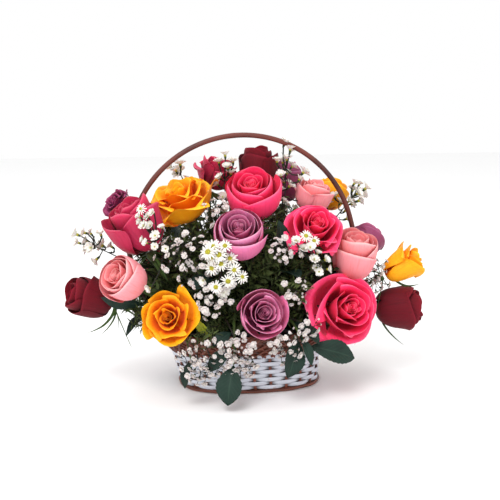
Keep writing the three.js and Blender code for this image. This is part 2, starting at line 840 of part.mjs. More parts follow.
// A star with a pointed top and bottom: its rays' tips and notches, and its two middle points
function star(rays, tip, notch, top, bottom) {
  const outline = Array.from({ length: 2 * rays }, (_, k) => {
    const angle = (Math.PI * k) / rays;
    const [reach, z] = k % 2 ? notch : tip;
    return new THREE.Vector3(reach * Math.cos(angle), reach * Math.sin(angle), z);
  });
  const corners = outline.flatMap((point, k) => {
    const next = outline[(k + 1) % outline.length];
    return [point, next, new THREE.Vector3(0, 0, top), next, point, new THREE.Vector3(0, 0, bottom)];
  });
  return new THREE.BufferGeometry().setFromPoints(corners);
}

// The hip of a rose with its five sepals, which hang away from the bloom above them
function calyx({ width, form }, hip) {
  const bud = form === "bud";
  const reach = bud ? width * SEPAL.budShare : Math.min(width * SEPAL.share, SEPAL.most);
  const droop = radians(bud ? SEPAL.budDroop : SEPAL.droop);
  const tip = [reach * Math.cos(droop), -GAP - SEPAL.root * hip - reach * Math.sin(droop)];
  const notch = [hip, -GAP - HIP.widestAt * hip];
  return { tip, geometry: star(SEPAL.count, tip, notch, -GAP, -GAP - HIP.height * hip) };
}

const holes = [];

// The foot of a stem in its hole, and the collar point just above the foam
function footInFoam([x, y], towards, radius) {
  const lean = towards.clone().sub(vec([x, y, FOAM.topZ])).setZ(0).setLength(FOAM.lean).setZ(1).normalize();
  const mouth = vec([x, y, FOAM.topZ]);
  holes.push({ mouth, lean, radius });
  return {
    foot: mouth.clone().addScaledVector(lean, FOAM.holeSpare - FOAM.holeDepth),
    collar: mouth.clone().addScaledVector(lean, ROSE_STEM.collar),
  };
}

// Where the branches of one stem part, just below its collar
const fork = (foot, collar) => foot.clone().lerp(collar, 0.9);

const arrangement = new THREE.Group();
const place = (name, solid, colour, roughness) => {
  const mesh = meshOf(name, solid, finish(colour, roughness));
  arrangement.add(mesh);
  return mesh;
};

// The basket takes its room first
takePath(handleLine(), HANDLE.thick / 2 + 0.5, "handle");

// Blooms, each turned to face its own way, with the hip and sepals under it
const heads = new Map();
BLOOMS.forEach((bloom, number) => {
  const facing = vec(bloom.facing).normalize();
  const tall = FORMS[bloom.form].tall * bloom.width;
  const base = vec(bloom.at).addScaledVector(facing, -tall / 2);
  const turn = facingTurn(facing, number * BLOOM_ROLL);
  const solid = roseBloom(bloom);
  const mesh = place(bloom.name, solid, COLOUR[bloom.colour], 0.6);
  mesh.position.copy(base);
  mesh.quaternion.copy(turn);
  const corners = mesh.geometry.attributes.position;
  const middle = new THREE.Vector3(0, 0, tall / 2);
  let reach = 0;
  for (let i = 0; i < corners.count; i++) {
    reach = Math.max(reach, new THREE.Vector3().fromBufferAttribute(corners, i).distanceTo(middle));
  }
  takeBall(vec(bloom.at), reach, bloom.name);
  const hip = Math.max(HIP.least, bloom.width * HIP.share);
  const { tip, geometry } = calyx(bloom, hip);
  const matrix = new THREE.Matrix4().compose(base, turn, new THREE.Vector3(1, 1, 1));
  heads.set(bloom.name, { name: bloom.name, facing, base, hip, green: geometry.applyMatrix4(matrix) });
  for (let k = 0; k < SEPAL.count; k++) {
    const angle = (2 * Math.PI * k) / SEPAL.count;
    const end = new THREE.Vector3(tip[0] * Math.cos(angle), tip[0] * Math.sin(angle), tip[1]);
    takeBar(base.clone().addScaledVector(facing, -hip), end.applyMatrix4(matrix), SEPAL.spare, bloom.name);
  }
});

for (const { name, hole, carries } of STEM_GROUPS) {
  const carried = carries.map((bloomName) => heads.get(bloomName));
  const middle = new THREE.Vector3();
  for (const { base } of carried) middle.addScaledVector(base, 1 / carried.length);
  const { foot, collar } = footInFoam(hole, middle, ROSE_STEM.radius);
  const pieces = [rod([foot, collar], ROSE_STEM.radius, ROSE_STEM.sides)];
  for (const { name: bloomName, facing, base, hip, green } of carried) {
    const neck = base.clone().addScaledVector(facing, -ROSE_STEM.neck * hip);
    const drop = base.clone().addScaledVector(facing, -2 * hip - ROSE_STEM.drop);
    const points = [collar, collar.clone().lerp(drop, 0.5), drop, neck];
    const route = bentClear(points, ROSE_STEM.radius, [bloomName, name], ROSE_STEM.steps);
    takePath(route, ROSE_STEM.radius, name);
    pieces.push(rod([fork(foot, collar), ...route.slice(1)], ROSE_STEM.radius, ROSE_STEM.sides), green);
  }
  place(name, joined(pieces), COLOUR.stem);
}

// The point of a bent line that lies nearest to a given point
function nearestOn(route, point) {
  const line = new THREE.Line3();
  let best = route[0];
  for (let i = 1; i < route.length; i++) {
    const near = line.set(route[i - 1], route[i]).closestPointToPoint(point, true, new THREE.Vector3());
    if (near.distanceTo(point) < best.distanceTo(point)) best = near;
  }
  return best;
}

// A leaf from its root in the stem to its tip, folded along its midrib, with a short stalk and a toothed edge
function leaf(stemPoint, end, half) {
  const away = end.clone().sub(stemPoint).normalize();
  const start = stemPoint.clone().addScaledVector(away, -LEAF.root);
  const along = end.clone().sub(start);
  const outward = new THREE.Vector3(start.x + end.x, start.y + end.y, 60).normalize();
  const side = along.clone().cross(outward).normalize();
  const up = side.clone().cross(along).normalize();
  const widthAt = (share) => {
    if (share < LEAF.stalk) return LEAF.stalkHalf;
    const tooth = Math.round(share * LEAF.rows) % 2 ? LEAF.notch : 1;
    return half * Math.sin(Math.PI * share ** 1.2) ** 0.7 * tooth;
  };
  return blade(2, LEAF.rows, LEAF.thick, (u, v) => {
    const share = THREE.MathUtils.clamp(v, 0, 1);
    const width = widthAt(share);
    const lift = LEAF.arch * along.length() * Math.sin(Math.PI * share) + LEAF.fold * width * Math.abs(u);
    return start.clone().addScaledVector(along, v).addScaledVector(side, u * width).addScaledVector(up, lift);
  });
}

for (const { name, hole, through, leaves } of LEAFY_STEMS) {
  const { radius, sides, steps } = SPRAY_STEM;
  const { foot, collar } = footInFoam(hole, vec(through[0]), radius);
  const route = bentClear([collar, ...through.map(vec)], radius, [name], steps);
  const pieces = [rod([foot, collar, ...route.slice(1)], radius, sides)];
  takePath(route, radius, name);
  for (const { from, to, half } of leaves) {
    const start = nearestOn(route, vec(from));
    pieces.push(leaf(start, vec(to), half));
    takeBar(start, vec(to), half * 0.8, name);
  }
  place(name, joined(pieces), COLOUR.leaf);
}

// A frond: one thin arched blade cut almost to its rib into slanting leaflets, shorter towards its tip
function frond(route, reach) {
  const rib = new BentLine(route);
  const rows = 2 * FROND.pairs;
  const edgeAt = (v, hand, length) => {
    const share = mix(FROND.start, 1, THREE.MathUtils.clamp(v, 0, 1));
    const ahead = rib.getTangent(share);
    const side = ahead.clone().cross(vec([0, 0, 1])).normalize();
    return rib
      .getPoint(share)
      .addScaledVector(side, hand * length)
      .addScaledVector(ahead, FROND.slant * length)
      .add(vec([0, 0, -FROND.droop * length]));
  };
  const reachAt = (row, hand) => {
    if (row % 2 === 0) return FROND.ribHalf;
    const v = row / rows;
    let length = reach * (1 - FROND.taper * v);
    const blocked = () => !barIsClear(edgeAt(v, hand, 0), edgeAt(v, hand, length), FROND.spare);
    while (length > FROND.least && blocked()) length -= 1;
    return length;
  };
  const reaches = Array.from({ length: rows + 1 }, (_, row) => [reachAt(row, -1), reachAt(row, 1)]);
  return blade(2, rows, FROND.thick, (u, v) => {
    const row = Math.round(THREE.MathUtils.clamp(v, 0, 1) * rows);
    return edgeAt(v, Math.sign(u), reaches[row][u < 0 ? 0 : 1] * Math.abs(u));
  });
}

for (const { name, hole, through, reach } of FERNS) {
  const { radius, sides, steps } = SPRAY_STEM;
  const { foot, collar } = footInFoam(hole, vec(through[0]), radius);
  const route = bentClear([collar, ...through.map(vec)], radius + 0.5, [name], steps + 1);
  const stalk = route.slice(1, Math.ceil(FROND.start * steps) + 2);
  const pieces = [rod([foot, collar, ...stalk], radius, sides), frond(route, reach)];
  takePath(route, radius + 1, name);
  place(name, joined(pieces), COLOUR.fern);
}

// A small flower and its twig as one closed shape: rays round a low dome, a neck and a root
function flowerOnTwig({ radius, rays, notch, dome }, at, facing, roll, root) {
  const turn = facingTurn(facing, roll);
  const ring = (count, centre, reachOf, z) =>
    Array.from({ length: count }, (_, k) => {
      const angle = (2 * Math.PI * k) / count;
      const point = new THREE.Vector3(reachOf(k) * Math.cos(angle), reachOf(k) * Math.sin(angle), z);
      return point.applyQuaternion(turn).add(centre);
    });
  const rim = ring(2 * rays, at, (k) => radius * (k % 2 ? notch : 1), 0);
  const neck = ring(TWIG.sides, at, () => TWIG.radius, -dome);
  const foot = ring(TWIG.sides, root, () => TWIG.radius, 0);
  const top = at.clone().addScaledVector(facing, dome);
  const corners = [foot[2], foot[1], foot[0]];
  rim.forEach((point, k) => {
    const next = (k + 1) % rim.length;
    const side = Math.floor((k * TWIG.sides) / rim.length);
    const nextSide = Math.floor((next * TWIG.sides) / rim.length);
    corners.push(point, rim[next], top, rim[next], point, neck[side]);
    if (side !== nextSide) corners.push(neck[side], neck[nextSide], rim[next]);
  });
  neck.forEach((point, k) => {
    const next = (k + 1) % TWIG.sides;
    corners.push(point, foot[k], neck[next], neck[next], foot[k], foot[next]);
  });
  return new THREE.BufferGeometry().setFromPoints(corners);
}

function spray({ name, hole, seed, branches }, flower, colour) {
  const draw = seededDraws(seed);
  const { radius, sides, steps } = SPRAY_STEM;
  const { foot, collar } = footInFoam(hole, vec(branches[0].through[0]), radius);
  const pieces = [rod([foot, collar], radius, sides)];
  branches.forEach(({ through, cloud, size, count }, branch) => {
    const route = bentClear([collar, ...through.map(vec), vec(cloud)], radius, [name], steps);
    pieces.push(rod([fork(foot, collar), ...route.slice(1)], radius, sides));
    takePath(route, radius, name);
    const outward = vec(cloud).sub(vec([0, 0, SCATTER.heartZ])).normalize();
    const line = new BentLine(route);
    let placed = 0;
    for (let attempt = 0; attempt < SCATTER.attempts && placed < count; attempt++) {
      const offset = new THREE.Vector3(2 * draw() - 1, 2 * draw() - 1, 2 * draw() - 1);
      if (offset.length() > 1) continue;
      const at = vec(cloud).add(offset.multiply(vec(size)));
      if (clearance(at, flower.radius) < CLEAR || basketDepth(at, flower.radius) > 0) continue;
      const root = line.getPoint(mix(SCATTER.rootFrom, SCATTER.rootTo, draw()));
      const facing = outward.clone().addScaledVector(at.clone().sub(root).normalize(), SCATTER.twigPull);
      facing.add(new THREE.Vector3(draw() - 0.5, draw() - 0.5, draw() - 0.3)).normalize();
      if (root.distanceTo(at) > SCATTER.longestTwig || !barIsClear(root, at, TWIG.radius, [name])) continue;
      pieces.push(flowerOnTwig(flower, at, facing, draw() * 3, root));
      takeBall(at, flower.radius, `${name} ${branch} ${placed}`);
      takeBar(root, at.clone(), TWIG.radius, name);
      placed++;
    }
  });
  place(name, joined(pieces), colour, 0.8);
}

for (const one of ASTER_SPRAYS) spray(one, ASTER, COLOUR.white);
for (const one of BREATH_SPRAYS) spray(one, BREATH, COLOUR.cream);

place("basket_base", basketBase(), COLOUR.plait, 0.8);
place("basket_weave", basketWall(), COLOUR.splint, 0.75);
place("basket_border", basketBorder(), COLOUR.plait, 0.8);
place("basket_handle", solidOf(rod(handleLine(), HANDLE.thick / 2, HANDLE.sides)), COLOUR.cane, 0.55);
place("liner", linerShell(), COLOUR.black, 0.35);
place("floral_foam", foamBlock(holes), COLOUR.foam, 0.95);

export default arrangement;
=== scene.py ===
"""A flower basket arrangement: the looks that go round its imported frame.

Metres, +Z up, +X to the viewer's right, -Y towards the viewer. The origin is the middle of the
underside of the basket's base. The basket, the blooms and the routes of the stems repeat the
driving values of the part's source.
"""

import logging
import math
from collections.abc import Callable, Sequence
from dataclasses import dataclass
from enum import Enum
from functools import cache
from random import Random
from typing import ClassVar

import bmesh
import bpy
import numpy as np
from bpy.types import Material, Mesh
from mathutils import Matrix, Quaternion, Vector


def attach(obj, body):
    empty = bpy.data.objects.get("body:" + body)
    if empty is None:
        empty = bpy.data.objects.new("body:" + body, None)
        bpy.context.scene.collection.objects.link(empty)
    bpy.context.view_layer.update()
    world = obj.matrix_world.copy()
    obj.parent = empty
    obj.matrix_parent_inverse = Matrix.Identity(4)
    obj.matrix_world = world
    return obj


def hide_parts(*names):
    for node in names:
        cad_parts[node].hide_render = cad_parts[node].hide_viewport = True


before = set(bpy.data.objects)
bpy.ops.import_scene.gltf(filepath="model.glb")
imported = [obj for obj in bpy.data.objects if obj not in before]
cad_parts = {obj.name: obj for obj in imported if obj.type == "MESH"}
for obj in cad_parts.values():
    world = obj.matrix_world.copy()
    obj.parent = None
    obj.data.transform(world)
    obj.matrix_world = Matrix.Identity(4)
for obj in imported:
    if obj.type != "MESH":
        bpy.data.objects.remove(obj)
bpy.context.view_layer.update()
LOG = logging.getLogger("flower_basket")

Point = tuple[float, float, float]
Pair = tuple[float, float]
Colour = int

MERGE = 1e-7
TURN = 2 * math.pi
UP = Vector((0.0, 0.0, 1.0))
FOAM_TOP = 0.088
FOOT_DEPTH = 0.024


def shade(code: int) -> tuple[float, ...]:
    """The linear colour that shaders read, for a screen colour's code of two hex digits a share."""
    shares = (((code >> step) & 255) / 255 for step in (16, 8, 0))
    return tuple(s / 12.92 if s <= 0.04045 else ((s + 0.055) / 1.055) ** 2.4 for s in shares)


def ease(low: float, high: float, value: np.ndarray) -> np.ndarray:
    """A smooth step of a value, from 0 at low to 1 at high."""
    share = np.clip((value - low) / (high - low), 0, 1)
    return share * share * (3 - 2 * share)


def flowing(points: Sequence[Vector], count: int) -> list[Vector]:
    """Evenly spaced points on a smooth curve through some points.

    Args:
        points: The points that the curve passes.
        count: How many steps the curve is cut into.

    Returns:
        The points of the curve, both ends included.
    """
    ends = [2 * points[0] - points[1], *points, 2 * points[-1] - points[-2]]
    cuts = 12
    fine = []
    for before, start, end, after in zip(ends, ends[1:], ends[2:], ends[3:]):
        for step in range(cuts):
            t = step / cuts
            bend = t * t * (2 * before - 5 * start + 4 * end - after)
            twist = t**3 * (3 * start - before - 3 * end + after)
            fine.append(0.5 * (2 * start + t * (end - before) + bend + twist))
    fine.append(points[-1].copy())
    lengths = [0.0]
    for one, other in zip(fine, fine[1:]):
        lengths.append(lengths[-1] + (other - one).length)
    spaced = []
    k = 0
    for step in range(count + 1):
        want = lengths[-1] * step / count
        while k < len(fine) - 2 and lengths[k + 1] < want:
            k += 1
        span = lengths[k + 1] - lengths[k]
        spaced.append(fine[k].lerp(fine[k + 1], min(1.0, (want - lengths[k]) / span) if span else 0.0))
    return spaced


def turned_to(facing: Vector, roll: float) -> Quaternion:
    """The turn that points +Z along a direction, after a roll about it."""
    return UP.rotation_difference(facing) @ Quaternion(UP, roll)


def lattice(columns: int, rows: int) -> tuple[np.ndarray, np.ndarray]:
    """How far across a sheet its points lie, from -1 to 1, and how far along it, from 0 to 1."""
    return tuple(np.meshgrid(np.linspace(-1, 1, columns + 1), np.linspace(0, 1, rows + 1)))


def reached(base: Vector, *terms: tuple[np.ndarray, Vector]) -> np.ndarray:
    """The points that are reached from a base by shares of some directions."""
    return sum((share[..., None] * np.array(way) for share, way in terms), np.array(base))


def metres(point: Sequence[float]) -> Vector:
    """A point whose numbers are given in millimetres."""
    return Vector(value / 1000 for value in point)


def nearest(points: Sequence[Vector], place: Vector) -> Vector:
    """The one of some points that lies nearest to a place."""
    return min(points, key=lambda point: (point - place).length)


def strayed(draw: Random, reach: float) -> Vector:
    """A random vector, whose three numbers lie within a reach of 0."""
    return Vector(draw.uniform(-reach, reach) for _ in range(3))


def tapered(radius: float, loss: float, steps: int, more: int = 0) -> list[float]:
    """Radii that a tube loses a share of over its steps, and over some more of them."""
    return [radius * (1 - loss * k / steps) for k in range(steps + 1 + more)]


def rooted(hole: Pair) -> list[Vector]:
    """The foot of a stem in the foam, and the mouth of its hole, which is given in millimetres."""
    mouth = Vector((hole[0] / 1000, hole[1] / 1000, FOAM_TOP))
    return [mouth - UP * FOOT_DEPTH, mouth]


class Wire:
    """A socket of a shader tree, so that shader maths reads as plain expressions."""

    def __init__(self, nodes: "Nodes", socket: bpy.types.NodeSocket) -> None:
        """Wraps one output socket of a tree."""
        self.nodes = nodes
        self.socket = socket

    def __add__(self, other: "Wire | float") -> "Wire":
        """The sum."""
        return self.nodes.maths("ADD", self, other)

    def __sub__(self, other: "Wire | float") -> "Wire":
        """The difference."""
        return self.nodes.maths("SUBTRACT", self, other)

    def __rsub__(self, other: float) -> "Wire":
        """A number less this."""
        return self.nodes.maths("SUBTRACT", other, self)

    def __mul__(self, other: "Wire | float") -> "Wire":
        """The product."""
        return self.nodes.maths("MULTIPLY", self, other)

    def __pow__(self, other: float) -> "Wire":
        """The power."""
        return self.nodes.maths("POWER", self, other)

    __radd__ = __add__
    __rmul__ = __mul__


class Nodes:
    """The node tree of one material, round its one principled shader."""

    def __init__(self, name: str, constants: dict[str, float]) -> None:
        """Starts a material.

        Args:
            name: The material's name.
            constants: What stays the same all over the surface, by the shader's socket names.
        """
        self.material = bpy.data.materials.new(name)
        self.material.use_nodes = True
        self.tree = self.material.node_tree
        self.shader = self.tree.nodes["Principled BSDF"]
        for socket, value in constants.items():
            self.shader.inputs[socket].default_value = value

    def node(self, kind: str, settings: dict, sockets: dict, output: int | str = 0) -> Wire:
        """Adds a node.

        Args:
            kind: The node's type.
            settings: Its own settings.
            sockets: The values or wires of its inputs.
            output: Which of its outputs is wanted.

        Returns:
            That output.
        """
        made = self.tree.nodes.new(kind)
        for setting, value in settings.items():
            setattr(made, setting, value)
        for key, value in sockets.items():
            self.feed(made.inputs[key], value)
        return Wire(self, made.outputs[output])

    def feed(self, socket: bpy.types.NodeSocket, value: "Wire | float | Colour") -> None:
        """Links a wire to a socket, or sets the socket to a value.

        Args:
            socket: The input that is fed.
            value: The wire, number or colour that it gets.
        """
        if isinstance(value, Wire):
            self.tree.links.new(value.socket, socket)
        elif socket.type == "RGBA":
            socket.default_value = (*shade(value), 1)
        else:
            socket.default_value = value

    def maths(self, operation: str, first: "Wire | float", second: "Wire | float" = 0.0) -> Wire:
        """A Math node on two values."""
        return self.node("ShaderNodeMath", {"operation": operation}, {0: first, 1: second})

    def blend(self, share: "Wire | float", first: "Wire | Colour", second: "Wire | Colour") -> Wire:
        """A mix of two colours, from the first at 0 to the second at 1."""
        settings = {"data_type": "RGBA", "clamp_factor": True}
        return self.node("ShaderNodeMix", settings, {0: share, 6: first, 7: second}, 2)

    def rise(self, value: Wire, low: float, high: float) -> Wire:
        """A smooth step of a value, from 0 at low to 1 at high."""
        settings = {"interpolation_type": "SMOOTHSTEP"}
        return self.node("ShaderNodeMapRange", settings, {0: value, 1: low, 2: high})

    def surface(self) -> tuple[Wire, Wire]:
        """How far across and along its own surface a point lies, each from 0 to 1."""
        split = self.node("ShaderNodeSeparateXYZ", {}, {0: self.node("ShaderNodeTexCoord", {}, {}, "UV")})
        return split, Wire(self, split.socket.node.outputs[1])

    def space(self) -> Wire:
        """The point's own place on the object."""
        return self.node("ShaderNodeTexCoord", {}, {}, "Object")

    def tone(self) -> Wire:
        """The number that the piece's mesh holds at each corner."""
        return self.node("ShaderNodeAttribute", {"attribute_name": "tone"}, {}, "Fac")

    def stretched(self, across: "Wire | float", along: "Wire | float", other: "Wire | float") -> Wire:
        """A vector made of three numbers."""
        return self.node("ShaderNodeCombineXYZ", {}, {0: across, 1: along, 2: other})

    def noise(self, where: Wire, scale: float, detail: float = 3.0, distortion: float = 0.0) -> Wire:
        """A noise value at a place."""
        sockets = {"Vector": where, "Scale": scale, "Detail": detail, "Distortion": distortion}
        return self.node("ShaderNodeTexNoise", {}, sockets)

    def finished(
        self, colour: "Wire | Colour", roughness: "Wire | float", height: Wire, depth: float
    ) -> Material:
        """Feeds the shader and gives the material.

        Args:
            colour: The base colour.
            roughness: The roughness.
            height: The relief of the surface, from 0 to 1.
            depth: How deep that relief is, in metres.

        Returns:
            The material.
        """
        self.feed(self.shader.inputs["Base Color"], colour)
        self.feed(self.shader.inputs["Roughness"], roughness)
        sockets = {"Height": height, "Distance": depth, "Strength": 0.6}
        bump = self.node("ShaderNodeBump", {}, sockets, "Normal")
        self.feed(self.shader.inputs["Normal"], bump)
        return self.material


@dataclass(frozen=True)
class PetalFinish:
    """The satin skin of one rose: darker towards the base of its petals, in its folds, partly their own
    colour and partly painted shade, and paler at its lips, a painted highlight.
    """

    slot: str
    deep: Colour
    face: Colour
    lip: Colour
    guard: Colour
    roughness: float = 0.5

    def material(self) -> Material:
        """Makes the material.

        Returns:
            The material.
        """
        soft = {
            "Subsurface Weight": 0.1,
            "Subsurface Scale": 0.004,
            "Sheen Weight": 0.04,
            "Specular IOR Level": 0.28,
        }
        nodes = Nodes(self.slot, soft)
        across, along = nodes.surface()
        age = nodes.tone()
        veins = nodes.noise(nodes.stretched(across * 34, along * 2.5, age * 9), 1.0, 4.0, 0.4)
        clouds = nodes.noise(nodes.stretched(across * 2, along * 2, age * 17), 1.0, 2.0)
        # Partly painted shade: the deep colour towards the base of each petal, in the folds, and partly the
        # petal's own deeper base colour.
        colour = nodes.blend(nodes.rise(along, 0.4, 0.98), self.deep, self.face)
        colour = nodes.blend(nodes.rise(age, 0.78, 1.0) * 0.85, colour, self.guard)
        colour = nodes.blend(nodes.rise(veins, 0.45, 0.8) * 0.3, colour, self.deep)
        # Painted highlight: the lip colour along the rolled lips of the petals.
        colour = nodes.blend(nodes.rise(along + clouds * 0.08, 0.93, 1.07) * 0.85, colour, self.lip)
        return nodes.finished(colour, self.roughness + clouds * 0.15, veins, 0.0005)


@dataclass(frozen=True)
class LeafFinish:
    """The skin of a leaf, with its midrib and side veins."""

    slot: str
    blade: Colour
    young: Colour
    vein: Colour
    roughness: float = 0.45

    def material(self) -> Material:
        """Makes the material.

        Returns:
            The material.
        """
        nodes = Nodes(self.slot, {"Specular IOR Level": 0.25})
        across, along = nodes.surface()
        aside = nodes.maths("ABSOLUTE", across - 0.5)
        rib = 1 - nodes.rise(aside, 0.012, 0.05)
        slanted = nodes.maths("PINGPONG", along * 9 - aside * 6, 0.5)
        side = (1 - nodes.rise(slanted, 0.02, 0.1)) * 0.5
        veins = nodes.maths("MAXIMUM", rib, side)
        clouds = nodes.noise(nodes.space(), 55.0, 3.0)
        colour = nodes.blend(nodes.rise(clouds + nodes.tone() * 0.4, 0.4, 0.85), self.blade, self.young)
        colour = nodes.blend(veins * 0.45, colour, self.vein)
        return nodes.finished(colour, self.roughness + clouds * 0.2, 1 - veins, 0.0004)


@dataclass(frozen=True)
class StemFinish:
    """A green or brown stem, streaked along its length."""

    slot: str
    green: Colour
    brown: Colour

    def material(self) -> Material:
        """Makes the material.

        Returns:
            The material.
        """
        nodes = Nodes(self.slot, {"Specular IOR Level": 0.35})
        across, along = nodes.surface()
        streaks = nodes.noise(nodes.stretched(across * 8, along * 3, 0.0), 1.0, 3.0)
        patches = nodes.noise(nodes.space(), 70.0, 2.0)
        colour = nodes.blend(nodes.rise(patches, 0.4, 0.7), self.green, self.brown)
        return nodes.finished(colour, 0.5 + streaks * 0.15, streaks, 0.0003)


@dataclass(frozen=True)
class FloretFinish:
    """Thin white petals, shaded towards their root."""

    slot: str
    root: Colour
    face: Colour

    def material(self) -> Material:
        """Makes the material.

        Returns:
            The material.
        """
        nodes = Nodes(self.slot, {"Subsurface Weight": 0.1, "Subsurface Scale": 0.002})
        across, along = nodes.surface()
        creases = nodes.noise(nodes.stretched(across * 12, along * 2, nodes.tone() * 5), 1.0, 2.0)
        colour = nodes.blend(nodes.rise(along, 0.05, 0.55), self.root, self.face)
        colour = nodes.blend(nodes.rise(nodes.tone(), 0.6, 1.0) * 0.5, colour, self.root)
        return nodes.finished(colour, 0.6 + creases * 0.1, creases, 0.0002)


@dataclass(frozen=True)
class DiscFinish:
    """The grainy yellow green middle of an aster."""

    slot: str
    light: Colour
    dark: Colour

    def material(self) -> Material:
        """Makes the material.

        Returns:
            The material.
        """
        nodes = Nodes(self.slot, {})
        grains = nodes.node("ShaderNodeTexVoronoi", {}, {"Vector": nodes.space(), "Scale": 1400.0})
        colour = nodes.blend(nodes.rise(grains, 0.1, 0.6), self.light, self.dark)
        return nodes.finished(colour, 0.65, 1 - grains, 0.0004)


@dataclass(frozen=True)
class CaneFinish:
    """Stained cane: fine grain along its length, darker in patches, with a worn sheen."""

    slot: str
    light: Colour
    dark: Colour
    roughness: float
    turns: float

    def material(self) -> Material:
        """Makes the material.

        Returns:
            The material.
        """
        nodes = Nodes(self.slot, {"Coat Roughness": 0.35, "Coat Weight": 0.15})
        across, along = nodes.surface()
        where = nodes.stretched(across * 26, along * self.turns, nodes.tone() * 30)
        grain = nodes.noise(where, 1.0, 5.0, 0.3)
        patches = nodes.noise(nodes.stretched(across, along * self.turns, nodes.tone() * 30), 0.9, 2.0)
        colour = nodes.blend(nodes.rise(patches * 0.7 + grain * 0.4, 0.35, 0.75), self.dark, self.light)
        colour = nodes.blend(nodes.rise(nodes.tone(), 0.9, 1.0) * 0.3, colour, self.dark)
        return nodes.finished(colour, self.roughness + grain * 0.15, grain, 0.0005)


@dataclass(frozen=True)
class SplintFinish:
    """White painted splint: darker fibres along it, painted shade where it dips behind a stake and along its
    top and bottom edges, and patches of bare wood.
    """

    slot: str
    paint: Colour
    painted_shade_and_grain: Colour
    bare: Colour

    def material(self) -> Material:
        """Makes the material.

        Returns:
            The material.
        """
        nodes = Nodes(self.slot, {"Specular IOR Level": 0.3})
        across, along = nodes.surface()
        fibres = nodes.noise(nodes.stretched(across * 16, along * 90, 0.0), 1.0, 4.0)
        stains = nodes.noise(nodes.space(), 90.0, 3.0)
        # Painted shade, from the tone: full where the splint dips behind a stake, and some more along its
        # top and bottom edges.
        colour = nodes.blend(nodes.tone() ** 1.5 * 0.9, self.paint, self.painted_shade_and_grain)
        # Darker fibres of the grain, in the same dark colour.
        colour = nodes.blend(nodes.rise(fibres, 0.62, 0.8) * 0.4, colour, self.painted_shade_and_grain)
        colour = nodes.blend(nodes.rise(stains, 0.66, 0.78) * 0.45, colour, self.bare)
        return nodes.finished(colour, 0.55 + fibres * 0.2, fibres, 0.0004)


@dataclass(frozen=True)
class FilmFinish:
    """Thin black plastic film with fine creases."""

    slot: str
    body: Colour

    def material(self) -> Material:
        """Makes the material.

        Returns:
            The material.
        """
        nodes = Nodes(self.slot, {})
        creases = nodes.noise(nodes.space(), 160.0, 4.0, 1.5)
        colour = nodes.blend(creases, self.body, 0x242428)
        return nodes.finished(colour, 0.22 + creases * 0.2, creases, 0.0012)


@dataclass(frozen=True)
class FoamFinish:
    """Wet floral foam: a crumbly dark green block."""

    slot: str
    wet: Colour
    dry: Colour

    def material(self) -> Material:
        """Makes the material.

        Returns:
            The material.
        """
        nodes = Nodes(self.slot, {})
        crumbs = nodes.noise(nodes.space(), 900.0, 4.0)
        patches = nodes.noise(nodes.space(), 60.0, 3.0)
        colour = nodes.blend(nodes.rise(patches + crumbs * 0.3, 0.5, 0.9), self.wet, self.dry)
        return nodes.finished(colour, 0.9, crumbs, 0.0010)


class Tint(Enum):
    """The colours of the roses."""

    # Columns: deep colour, partly painted shade in the folds; face; lip, a painted highlight; guard petals'
    # colour; roughness where given.
    PINK = PetalFinish("petals_pink", 0xC80A3C, 0xFC3066, 0xFF789C, 0xFF4074)
    MAGENTA = PetalFinish("petals_magenta", 0x700A26, 0xC82650, 0xDE5C7A, 0xBA244E)
    LAVENDER = PetalFinish("petals_lavender", 0xA4426E, 0xD476A0, 0xEEB0CA, 0xE876A4)
    MAUVE = PetalFinish("petals_mauve", 0x601C3E, 0x9C4A70, 0xB86C90, 0x8E3E64)
    # A darker copy of the mauve petals for the far left rose: partly a deeper purple of its own, partly
    # painted shade.
    PLUM_IN_SHADE = PetalFinish("petals_plum_in_shade", 0x541034, 0x8C2A58, 0xA44C74, 0x78224E)
    YELLOW = PetalFinish("petals_yellow", 0xF06A00, 0xFFA402, 0xFFC01C, 0xFFB006)
    BLUSH = PetalFinish("petals_blush", 0xE45454, 0xF6989C, 0xFFC8C6, 0xF49CA4)
    RED = PetalFinish("petals_red", 0x260006, 0x6C0016, 0x7C0822, 0x600014, 0.75)


class Skin(Enum):
    """The finishes of everything but the petals of the roses."""

    ROSE_STEM = StemFinish("rose_stems", 0x48602C, 0x3A4226)
    SEPAL = LeafFinish("rose_stems_leafy", 0x223A1C, 0x3E5A22, 0x5A703C)
    YOUNG = LeafFinish("young_leaf", 0x6C8014, 0xA0A828, 0xBEC45A)
    TWIG = StemFinish("twigs", 0x181C12, 0x241614)
    LEAF = LeafFinish("leaves", 0x0A1A14, 0x182F26, 0x2E4638)
    FERN = LeafFinish("fern", 0x222C16, 0x4E5C30, 0x687842, 0.6)
    RAY = FloretFinish("asters", 0xBEBC96, 0xECE6E0)
    BREATH = FloretFinish("babys_breath", 0x8C847A, 0xDAD0CC)
    GREEN = LeafFinish("greens", 0x22321C, 0x3C4E28, 0x4C5C38)
    DISC = DiscFinish("aster_discs", 0xCEC824, 0x8C840E)
    PLAIT = CaneFinish("plaited_cane", 0x904C36, 0x3E1B12, 0.5, 6.0)
    BENT = CaneFinish("bent_cane", 0x6C2C1E, 0x32110C, 0.6, 14.0)
    SPLINT = SplintFinish("white_splint", 0xD4D8E2, 0x2C2026, 0xA47C64)
    FILM = FilmFinish("black_film", 0x0C0C0D)
    FOAM = FoamFinish("foam", 0x143422, 0x325C3C)


@cache
def dressing(finish: Tint | Skin) -> Material:
    """The material of a finish, made once and given again whenever it is wanted."""
    return finish.value.material()


